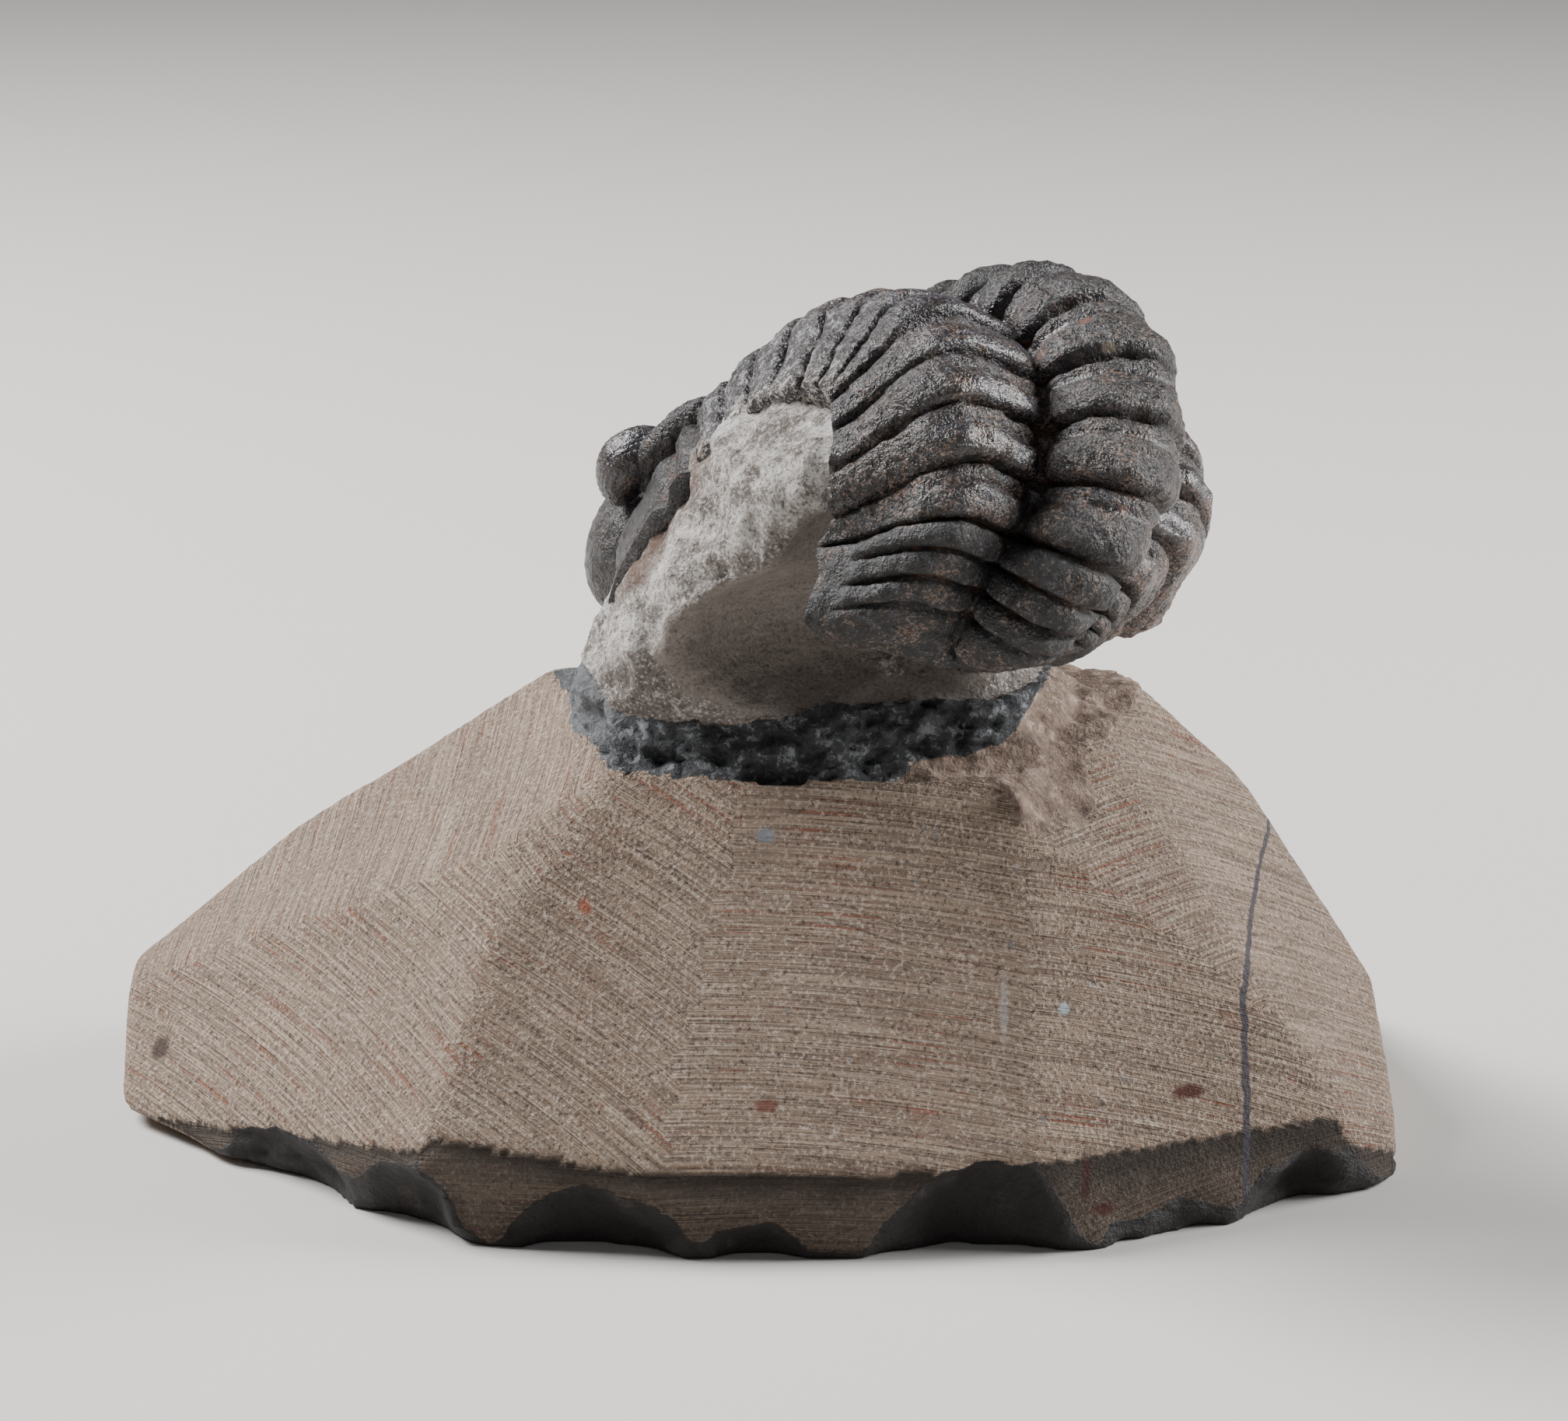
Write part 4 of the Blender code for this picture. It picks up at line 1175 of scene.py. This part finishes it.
def head_frame():
    """Matrix from places forward, left and up on the head to the world."""
    points, normals, backward = hinge_line(np.array([0.0, -HEAD_LENGTH]))
    matrix = Matrix((-backward[1], directions()[1], normals[1])).transposed().to_4x4()
    matrix.translation = Vector(points[0])
    return matrix


def scaled(point, size):
    return Vector([place * length for place, length in zip(point, size)])


def glabella_shape(point):
    """The swollen middle of the head, narrower at the back."""
    point.y *= 1 - GLABELLA_BACK_TAPER * max(-point.x, 0)
    return GLABELLA_CENTRE + scaled(point, GLABELLA_SIZE)


def lens_height(point):
    """Height of the eye's lenses, in staggered rows on its outer face."""
    around = math.atan2(point.x, point.y) * EYE_SIZE.x
    rise = point.z * EYE_SIZE.z
    row = round(rise / (LENS_SPACING * LENS_ROW_SHARE))
    off_side = (around / LENS_SPACING + 0.5 * (row % 2)) % 1 - 0.5
    off_rise = rise / LENS_SPACING - row * LENS_ROW_SHARE
    dome = max(0.0, 1 - LENS_STEEPNESS * (off_side**2 + off_rise**2))
    inside = smooth_step(LENS_BAND_HALF_HEIGHT - abs(point.z - LENS_BAND_MIDDLE), 0.0, LENS_BAND_FADE)
    return LENS_HEIGHT * math.sqrt(dome) * float(smooth_step(point.y, *LENS_FACE) * inside)


def eye_shape(point):
    """A kidney-shaped eye that bends round the head, with a low crown and a field of lenses."""
    bulge = 1 + lens_height(point) / EYE_SIZE.y
    point.z *= EYE_CROWN if point.z > 0 else EYE_FOOT
    place = EYE_CENTRE + scaled(point * bulge, EYE_SIZE)
    place.y -= EYE_BEND * point.x**2
    return place


def lid_shape(point):
    """The lid's ridge from the top of the eye back to the rim of the cheek."""
    return LID_CENTRE + scaled(point, LID_SIZE)


# Lobes, the side that each is on, 1 for the left, and the place on the flank whose finish it shares: 0.2 is
# smooth and glossy, 0.7 is granular
HEAD_LOBES = (
    (glabella_shape, 1, 0.7),
    (eye_shape, 1, 0.2),
    (eye_shape, -1, 0.2),
    (lid_shape, 1, 0.65),
    (lid_shape, -1, 0.65),
)


def head_lobe(shape, side, pleura):
    """A ball, shaped on the head's own axes and then put in place."""
    work = bmesh.new()
    bmesh.ops.create_uvsphere(work, u_segments=LOBE_SEGMENTS, v_segments=LOBE_RINGS, radius=1)
    for vert in work.verts:
        vert.co = shape(vert.co.copy())
        vert.co.y *= side
    work.transform(head_frame())
    if work.calc_volume(signed=True) < 0:
        bmesh.ops.reverse_faces(work, faces=work.faces)
    for name, value in (("ridge", 0.5), ("pleura", pleura), ("side", 0.0), ("station", LOBE_STATION)):
        layer = work.verts.layers.float.new(name)
        for vert in work.verts:
            vert[layer] = value
    return work


def read_paint(mesh, name):
    values = np.empty(len(mesh.vertices), dtype=np.float32)
    mesh.attributes[name].data.foreach_get("value", values)
    return values


def make_trilobite(settings):
    work = wrapped_grid(*body_sections(body_stations()))
    for row in HEAD_LOBES:
        lobe = head_lobe(*row)
        mesh = bpy.data.meshes.new("lobe")
        lobe.to_mesh(mesh)
        lobe.free()
        work.from_mesh(mesh)
        bpy.data.meshes.remove(mesh)
    piece = add_object("trilobite_shell", work, calcite_material(settings))
    finish_trilobite(piece.data, settings)
    piece.data.shade_smooth()
    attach(piece, "root")
    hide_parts("trilobite")


def finish_trilobite(mesh, settings):
    """Granules and dents, and the shares that the material reads."""
    places = read_vertices(mesh, "co")
    facts = {name: read_paint(mesh, name) for name in ("ridge", "pleura", "side", "station")}
    pleura, station = facts["pleura"], facts["station"]
    on = {name: smooth_step(facts[fact], *span) for name, (fact, *span) in SHELL_SPANS.items()}
    band = on["off_axis"] * (1 - on["outside_band"]) * (1 - 0.75 * on["tail"])
    half_ring = (pleura <= AXIS_EDGE) * on["sunk"] * (1 - on["deep"])
    granules = np.maximum(rough_layers(places, *GRANULE_NOISE), 0)
    lift = settings.granules * granules * (0.35 + 0.65 * on["granular"]) * (1 - 0.75 * band)
    lift += sum(height * rough_layers(places, *noise) for height, *noise in DENTS)
    lift *= 1 - (station == LOBE_STATION) * (pleura < GLOSSY_LOBE)
    set_places(mesh, places + read_vertices(mesh, "normal") * lift[:, None])
    thorax = station > HEAD_EDGE
    shares = {
        "terrace": on["tail_edge"] * on["border"] * on["right"] * pleura,
        "furrow": on["furrow"],
        # Smooth bands and half rings, which the material paints grey as painted sheen and makes glossier.
        "sheen": np.maximum(band * on["raised"], 0.8 * half_ring * (1 - on["tail"])),
        "brown": 0.25 + 0.75 * on["rear"],
        "wear": (0.15 + 0.85 * (1 - on["middle"]) * on["worn"]) * thorax,
        # The tail share also darkens the tail as painted shade, and roughens it.
        "tail": on["tail"],
        "dusty": on["tips"] * on["left"] * on["front"] * thorax,
        # Painted shade below and behind the left eye.
        "pit": (1 - smooth_step(ball_distance(places, PAINTED_EYE_SHADE), *PIT_EDGE)) * (station < 0),
        "flank": on["far_right"] * on["rear_flank"],
    }
    for name, share in shares.items():
        paint(mesh, name, share)


# Limestone block


def face_normal(heading, steepness):
    heading = math.radians(heading)
    steepness = math.radians(steepness)
    level = math.sin(steepness)
    return Vector((level * math.cos(heading), level * math.sin(heading), math.cos(steepness)))


def ground_block():
    """A sawn block with a flat ground on it for each named face."""
    work = bmesh.new()
    bmesh.ops.create_cube(work, size=1)
    for vert in work.verts:
        vert.co = scaled(vert.co + Vector((0, 0, 0.5)), BLOCK_SIZE)
    for heading, steepness, distance, _ in GROUND_FLATS.values():
        normal = face_normal(heading, steepness)
        everything = work.verts[:] + work.edges[:] + work.faces[:]
        bmesh.ops.bisect_plane(
            work, geom=everything, plane_co=normal * distance * MM, plane_no=normal, clear_outer=True
        )
        bmesh.ops.holes_fill(work, edges=[edge for edge in work.edges if edge.is_boundary])
    bmesh.ops.recalc_face_normals(work, faces=work.faces)
    return work


def neck_column():
    """Column of rock whose outline changes from level to level."""
    work = bmesh.new()
    bmesh.ops.create_cone(work, cap_ends=True, segments=NECK_SIDES, radius1=1, radius2=1, depth=1)
    uprights = [edge for edge in work.edges if edge.verts[0].co.z != edge.verts[1].co.z]
    last = len(NECK_LEVELS) - 1
    bmesh.ops.subdivide_edges(work, edges=uprights, cuts=last - 1)
    power = 2 / NECK_SQUARENESS
    for vert in work.verts:
        height, x, y, length, width, heading = NECK_LEVELS[round((vert.co.z + 0.5) * last)]
        turn = math.atan2(vert.co.y, vert.co.x)
        along = math.copysign(abs(math.cos(turn)) ** power, math.cos(turn)) * length
        aside = math.copysign(abs(math.sin(turn)) ** power, math.sin(turn)) * width
        spun = Matrix.Rotation(math.radians(heading), 3, "Z") @ Vector((along, aside, 0))
        vert.co = (Vector((x, y, height)) + spun) * MM
    bmesh.ops.triangulate(work, faces=[face for face in work.faces if len(face.verts) == 4])
    return work


def chip_balls():
    """Centre and half-size of the flattened ball that each chip's scar fits, in mm."""
    for x, y, heading, half_width, height, depth in EDGE_CHIPS.values():
        radius = (half_width**2 + depth**2) / (2 * depth)
        heading = math.radians(heading)
        away = radius - depth
        centre = (x + away * math.cos(heading), y + away * math.sin(heading), CHIP_BASE)
        yield centre, (radius, radius, height * radius / half_width)


def ball(centre, size, raggedness=0.0):
    """A ball whose surface wanders in and out by the raggedness, in mm."""
    work = bmesh.new()
    bmesh.ops.create_uvsphere(work, u_segments=BALL_SEGMENTS, v_segments=BALL_RINGS, radius=1)
    places = np.array([Vector(centre) + scaled(vert.co, size) for vert in work.verts]) * MM
    steps = raggedness * MM * rough_layers(places, *CHIP_NOISE)
    for vert, place, step in zip(work.verts, places, steps):
        vert.co = Vector(place) + vert.co * step
    return work


def carve(stone, work, operation):
    """Joins a shape to the stone or cuts it away, and removes the shape."""
    tool = add_object("tool", work)
    modifier = stone.modifiers.new("carve", "BOOLEAN")
    modifier.operation = operation
    modifier.object = tool
    settle(stone)
    mesh = tool.data
    bpy.data.objects.remove(tool)
    bpy.data.meshes.remove(mesh)


def even_faces(stone, spacing):
    modifier = stone.modifiers.new("even_faces", "REMESH")
    modifier.mode = "VOXEL"
    modifier.voxel_size = spacing
    settle(stone)


def flat_distances(places):
    """How far each point lies outside each ground flat, and the flats' normals."""
    normals = np.array([face_normal(heading, steep) for heading, steep, _, _ in GROUND_FLATS.values()])
    distances = np.array([distance for _, _, distance, _ in GROUND_FLATS.values()]) * MM
    return places @ normals.T - distances, normals


def ball_distance(places, balls):
    """Distance from the nearest ball's middle, as a share of its radius."""
    shares = [(places - np.array(centre) * MM) / (np.array(size) * MM) for centre, size in balls]
    return np.linalg.norm(shares, axis=2).min(axis=0)


def map_scratches(mesh):
    """UV map, in mm: places across and along the grinder's scratches, which are long arcs on each flat.

    Noise makes the lines between the flats ragged.
    """
    count = len(mesh.polygons)
    centres = np.empty(count * 3)
    mesh.polygons.foreach_get("center", centres)
    outside, normals = flat_distances(centres.reshape(-1, 3))
    raggedness = EDGE_RAGGEDNESS * rough_layers(centres.reshape(-1, 3), *EDGE_NOISE)
    outside += raggedness[:, None] * np.resize([1.0, -1.0, 0.0], outside.shape[1])
    nearest = outside.argmax(axis=1)
    headings = np.radians([heading for heading, _, _, _ in GROUND_FLATS.values()])
    slants = np.radians([slant for _, _, _, slant in GROUND_FLATS.values()])
    level = np.stack([-np.sin(headings), np.cos(headings), np.zeros(len(headings))], axis=1)
    upward = np.cross(normals, level)
    along = level * np.cos(slants)[:, None] + upward * np.sin(slants)[:, None]
    across = np.cross(normals, along)
    corners = np.empty(len(mesh.loops), dtype=np.int64)
    mesh.loops.foreach_get("vertex_index", corners)
    totals = np.empty(count, dtype=np.int64)
    mesh.polygons.foreach_get("loop_total", totals)
    flat = np.repeat(nearest, totals)
    places = read_vertices(mesh, "co")[corners] / MM
    run = (places * along[flat]).sum(axis=1)
    side = (places * across[flat]).sum(axis=1) + run**2 / (2 * SCRATCH_ARC) + flat * SHEET_STEP
    layer = mesh.uv_layers.new(name=SCRATCH_MAP)
    layer.uv.foreach_set("vector", np.stack([side, run], axis=1).astype(np.float32).ravel())


def smooth_some(mesh, share, rounds):
    """Evens out the surface where share is high, by drawing each point towards its neighbours."""
    edges = np.empty(len(mesh.edges) * 2, dtype=np.int64)
    mesh.edges.foreach_get("vertices", edges)
    first, second = edges.reshape(-1, 2).T
    count = np.bincount(np.concatenate([first, second]), minlength=len(mesh.vertices))[:, None]
    places = read_vertices(mesh, "co")
    for _ in range(rounds):
        total = np.zeros_like(places)
        for axis in range(3):
            total[:, axis] += np.bincount(first, places[second, axis], len(places))
            total[:, axis] += np.bincount(second, places[first, axis], len(places))
        places += (total / count - places) * (0.5 * share)[:, None]
    set_places(mesh, places)


def zone(name, value, uneven):
    """Share of a zone at each point, from 0 where it starts to 1 where it is full."""
    start, full, raggedness = ZONE_SPANS[name]
    return smooth_step(value + raggedness * uneven, start, full)


def stone_zones(places):
    """Share of each kind of surface at each point."""
    outside, _ = flat_distances(places)
    names = list(GROUND_FLATS)
    nearest = outside.argmax(axis=1)
    highest = outside.max(axis=1)
    x, y, z = places.T / MM
    uneven = rough_layers(places, *ZONE_NOISE)
    wall = zone("wall", highest / MM, uneven)
    low = zone("below_rim_top", z - np.interp(x, *RIM_TOP), uneven)
    right = zone("below_rim_foot", np.interp(x, *RIM_FOOT) - z, uneven)
    shoulder = (nearest == names.index("shoulder")) & (wall < 0.5)
    rim = np.maximum(wall * low, shoulder * zone("beside_neck", y, uneven))
    rubble = (nearest == names.index("right_neck")) * zone("rubble_foot", z, uneven)
    feet = np.isin(nearest, [index for index, name in enumerate(names) if name.endswith("foot")])
    others = np.where(np.isin(np.arange(len(names)), nearest[feet]), -1.0, outside).max(axis=1)
    scars = zone("scar", -highest / MM, uneven) * (ball_distance(places, chip_balls()) < CHIP_REACH)
    return {
        "neck": wall * (1 - low),
        "hollow": 1 - zone("hollow", ball_distance(places, TAIL_HOLLOWS), uneven),
        "rim": rim * (1 - right),
        "crumb": np.maximum(rim * right, rubble * zone("rubble_end", x, uneven)),
        "chip": scars * (z < CHIP_TOP),
        # The crease and the foot faces are darkened by the material as painted shade; the crease is also sunk
        # a little.
        "shaded_crease": feet * zone("shaded_crease", (highest - others) / MM, uneven),
        "foot": feet,
    }


def tint_zones(places):
    """Where the neck is stained or pale, and where the rim is smooth."""
    x, y, z = places.T / MM
    uneven = rough_layers(places, *TINT_NOISE)
    below_cheek = z - CHEEK_HEIGHT - CHEEK_SLOPE * (x - CHEEK_PLACE)
    stain = zone("stain", below_cheek, uneven) * zone("stain_end", x, uneven) * (y < 0)
    # The pale upper neck is painted light where the top is lit, and pale rock powder beside the ribs.
    pale = np.maximum(zone("pale", below_cheek, uneven), zone("beside_ribs", z, uneven))
    return {"stain": stain, "pale": pale * (1 - stain), "smooth_rim": zone("smooth_rim", x, uneven)}


def stone_lift(places, zones):
    """How far each point is raised, in mm: low waves, and each zone's own relief."""
    wave = {
        name: rough_layers(places * stretch, size * MM, layers, seed)
        for name, (stretch, size, layers, seed) in STONE_NOISE.items()
    }
    creases = np.abs(wave["creases"]) + 0.45 * np.abs(wave["fine_creases"])
    lumps = 0.2 - 0.6 * creases + 0.35 * wave["humps"] + 0.12 * wave["knobs"]
    ledges = np.round(wave["ledges"] * LEDGES_IN_MM) / LEDGES_IN_MM
    splinters = 0.85 * ledges + 0.3 - 0.8 * np.abs(wave["splinters"])
    lift = 0.09 * wave["waves"] + 0.035 * wave["grit"]
    lift += zones["neck"] * (1 - zones["hollow"]) * lumps
    lift += zones["neck"] * zones["hollow"] * 0.16 * wave["swells"]
    lift += zones["rim"] * (1 - zones["neck"]) * splinters
    lift += zones["crumb"] * 0.65 * wave["rubble"]
    lift += zones["chip"] * 0.3 * wave["ripples"]
    return lift - 0.15 * zones["shaded_crease"]


def roughen_stone(mesh):
    """Gives each zone its own relief, and paints the zones for the material to read."""
    zones = stone_zones(read_vertices(mesh, "co"))
    evened = np.clip(0.85 + zones["neck"] - 0.6 * zones["chip"] - 0.6 * zones["rim"], 0, 1)
    smooth_some(mesh, evened, SMOOTHING_ROUNDS)
    places = read_vertices(mesh, "co")
    zones = stone_zones(places)
    lift = stone_lift(places, zones) * smooth_step(places[:, 2], *RELIEF_START) * MM
    set_places(mesh, places + read_vertices(mesh, "normal") * lift[:, None])
    for name, share in (zones | tint_zones(places)).items():
        paint(mesh, name, share)


def make_stone(settings):
    piece = add_object("limestone_block", ground_block(), limestone_material(settings))
    carve(piece, neck_column(), "UNION")
    for centre, size in TAIL_HOLLOWS:
        carve(piece, ball(centre, size), "DIFFERENCE")
    for centre, size in chip_balls():
        carve(piece, ball(centre, size, CHIP_RAGGEDNESS), "DIFFERENCE")
    even_faces(piece, settings.spacing)
    roughen_stone(piece.data)
    map_scratches(piece.data)
    piece.data.shade_smooth()
    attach(piece, "root")
    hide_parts("matrix_stone")


# Stage

FLOOR_REACH = 1.2
FLOOR_BACK = 0.75
SWEEP_RADIUS = 0.35
SWEEP_STEPS = 24

# Lights, in metres and watts: name, place, width and height, and power
LIGHTS = (
    ("key_left", (-0.40, 0.14, 0.46), (0.28, 0.28), 9.0),
    ("second_right", (0.50, 0.06, 0.26), (0.24, 0.24), 5.0),
    ("front_fill", (-0.05, -0.60, 0.55), (0.40, 0.30), 0.35),
)
LIGHT_AIM = Vector((0, 0, 25 * MM))
AIR_COLOUR = (0.92, 0.95, 1.0, 1.0)
AIR_STRENGTH = 0.085


def only(kind, items):
    return [item for item in items if isinstance(item, kind)]


def make_floor(settings):
    """A sheet of card that lies flat and then curves up behind the object."""
    work = bmesh.new()
    start = work.verts.new((-FLOOR_REACH, -FLOOR_REACH, 0))
    end = work.verts.new((FLOOR_REACH, -FLOOR_REACH, 0))
    edge = work.edges.new((start, end))
    flat = bmesh.ops.extrude_edge_only(work, edges=[edge])["geom"]
    corners = only(bmesh.types.BMVert, flat)
    bmesh.ops.translate(work, verts=corners, vec=(0, FLOOR_REACH + FLOOR_BACK, 0))
    rim = only(bmesh.types.BMEdge, flat)
    spun = bmesh.ops.spin(
        work, geom=rim + corners, cent=(0, FLOOR_BACK, SWEEP_RADIUS), axis=(1, 0, 0), angle=math.pi / 2,
        steps=SWEEP_STEPS,
    )["geom_last"]
    wall = bmesh.ops.extrude_edge_only(work, edges=only(bmesh.types.BMEdge, spun))["geom"]
    bmesh.ops.translate(work, verts=only(bmesh.types.BMVert, wall), vec=(0, 0, FLOOR_REACH))
    bmesh.ops.remove_doubles(work, verts=work.verts, dist=MERGE_DISTANCE)
    floor = add_object("studio_card", work, card_material(settings))
    floor.data.shade_smooth()


def add_light(name, place, size, power):
    light = bpy.data.lights.new(name, "AREA")
    light.shape = "RECTANGLE"
    light.size, light.size_y = size
    light.energy = power
    obj = bpy.data.objects.new(name, light)
    obj.location = place
    obj.rotation_euler = (LIGHT_AIM - Vector(place)).to_track_quat("-Z", "Y").to_euler()
    bpy.context.scene.collection.objects.link(obj)


def add_lights(settings):
    for name, place, size, power in LIGHTS:
        add_light(name, place, size, power * settings.light)
    world = bpy.data.worlds.new("studio_air")
    bpy.context.scene.world = world
    world.use_nodes = True
    background = world.node_tree.nodes["Background"]
    background.inputs["Color"].default_value = AIR_COLOUR
    background.inputs["Strength"].default_value = AIR_STRENGTH * settings.light


def add_camera():
    camera = bpy.data.cameras.new("camera")
    camera.lens = FOCAL_LENGTH
    camera.sensor_width = SENSOR_WIDTH
    camera.clip_start = 0.01
    obj = bpy.data.objects.new("camera", camera)
    forward = Vector((0, math.cos(CAMERA_ELEVATION), -math.sin(CAMERA_ELEVATION)))
    obj.location = CAMERA_AIM - forward * CAMERA_DISTANCE
    obj.rotation_euler = forward.to_track_quat("-Z", "Y").to_euler()
    bpy.context.scene.collection.objects.link(obj)
    bpy.context.scene.camera = obj


# Add-on


def colour_setting(name, colour, description):
    """A colour that the user can change."""
    return bpy.props.FloatVectorProperty(
        name=name, description=description, default=linear(colour), size=4, subtype="COLOR", min=0, max=1
    )


class FossilSettings(bpy.types.PropertyGroup):
    """Sizes and colours of the trilobite"""

    granules: bpy.props.FloatProperty(
        name="Granule height", description="Height of the shell's grains", default=0.09 * MM, unit="LENGTH"
    )
    # The sheen colour is painted sheen: grey laid on the smooth bands beside the axis.
    grey: colour_setting("Sheen colour", PAINTED_SHEEN_GREY, "Colour of the smooth bands beside the axis")
    wear: colour_setting("Wear colour", WORN_GRAIN, "Colour of the worn grains")


class StoneSettings(bpy.types.PropertyGroup):
    """Sizes and colours of the limestone block"""

    spacing: bpy.props.FloatProperty(
        name="Face size", description="Size of the stone's faces", default=0.42 * MM, unit="LENGTH"
    )
    ground: colour_setting("Ground colour", GROUND_TAN, "Colour of the ridges between the scratches")
    ground_dark: colour_setting("Scratch colour", GROUND_DARK, "Colour of the scratches")
    neck: colour_setting("Neck colour", NECK_GREY, "Colour of the blasted neck")
    rim: colour_setting("Rim colour", RIM_SLATE, "Colour of the broken rim below the neck")


class StageSettings(bpy.types.PropertyGroup):
    """Floor and lights"""

    floor: colour_setting("Floor colour", FLOOR_PALE, "Colour of the card")
    light: bpy.props.FloatProperty(
        name="Light", description="Strength of all lights", default=1.0, min=0.0, max=10.0, subtype="FACTOR"
    )


class FOSSIL_OT_trilobite(bpy.types.Operator):
    """Add the black calcite trilobite"""

    bl_idname = "fossil.trilobite"
    bl_label = "Add trilobite"

    def execute(self, context):
        make_trilobite(context.scene.fossil_settings)
        return {"FINISHED"}


class FOSSIL_OT_stone(bpy.types.Operator):
    """Add the limestone block with its neck, rim and chipped foot"""

    bl_idname = "fossil.stone"
    bl_label = "Add limestone block"

    def execute(self, context):
        make_stone(context.scene.stone_settings)
        return {"FINISHED"}


class FOSSIL_OT_stage(bpy.types.Operator):
    """Add the floor, the lights and the camera"""

    bl_idname = "fossil.stage"
    bl_label = "Add studio"

    def execute(self, context):
        settings = context.scene.stage_settings
        make_floor(settings)
        add_lights(settings)
        add_camera()
        return {"FINISHED"}


class FOSSIL_PT_panel(bpy.types.Panel):
    """Lists the pieces in the sidebar"""

    bl_label = "Morocops fossil"
    bl_space_type = "VIEW_3D"
    bl_region_type = "UI"
    bl_category = "Fossil"

    def draw(self, context):
        for group, operator in zip(SETTINGS, OPERATORS):
            box = self.layout.box()
            settings = getattr(context.scene, group)
            for name in settings.__annotations__:
                box.prop(settings, name)
            box.operator(operator.bl_idname)


SETTINGS = {
    "fossil_settings": FossilSettings,
    "stone_settings": StoneSettings,
    "stage_settings": StageSettings,
}
OPERATORS = (FOSSIL_OT_trilobite, FOSSIL_OT_stone, FOSSIL_OT_stage)


def register():
    for kind in (*SETTINGS.values(), *OPERATORS, FOSSIL_PT_panel):
        bpy.utils.register_class(kind)
    for name, kind in SETTINGS.items():
        setattr(bpy.types.Scene, name, bpy.props.PointerProperty(type=kind))


def unregister():
    for name in SETTINGS:
        delattr(bpy.types.Scene, name)
    for kind in (FOSSIL_PT_panel, *reversed(OPERATORS), *reversed(SETTINGS.values())):
        bpy.utils.unregister_class(kind)


def main():
    register()
    bpy.ops.fossil.stage()
    bpy.ops.fossil.stone()
    bpy.ops.fossil.trilobite()


if __name__ == "__main__":
    main()
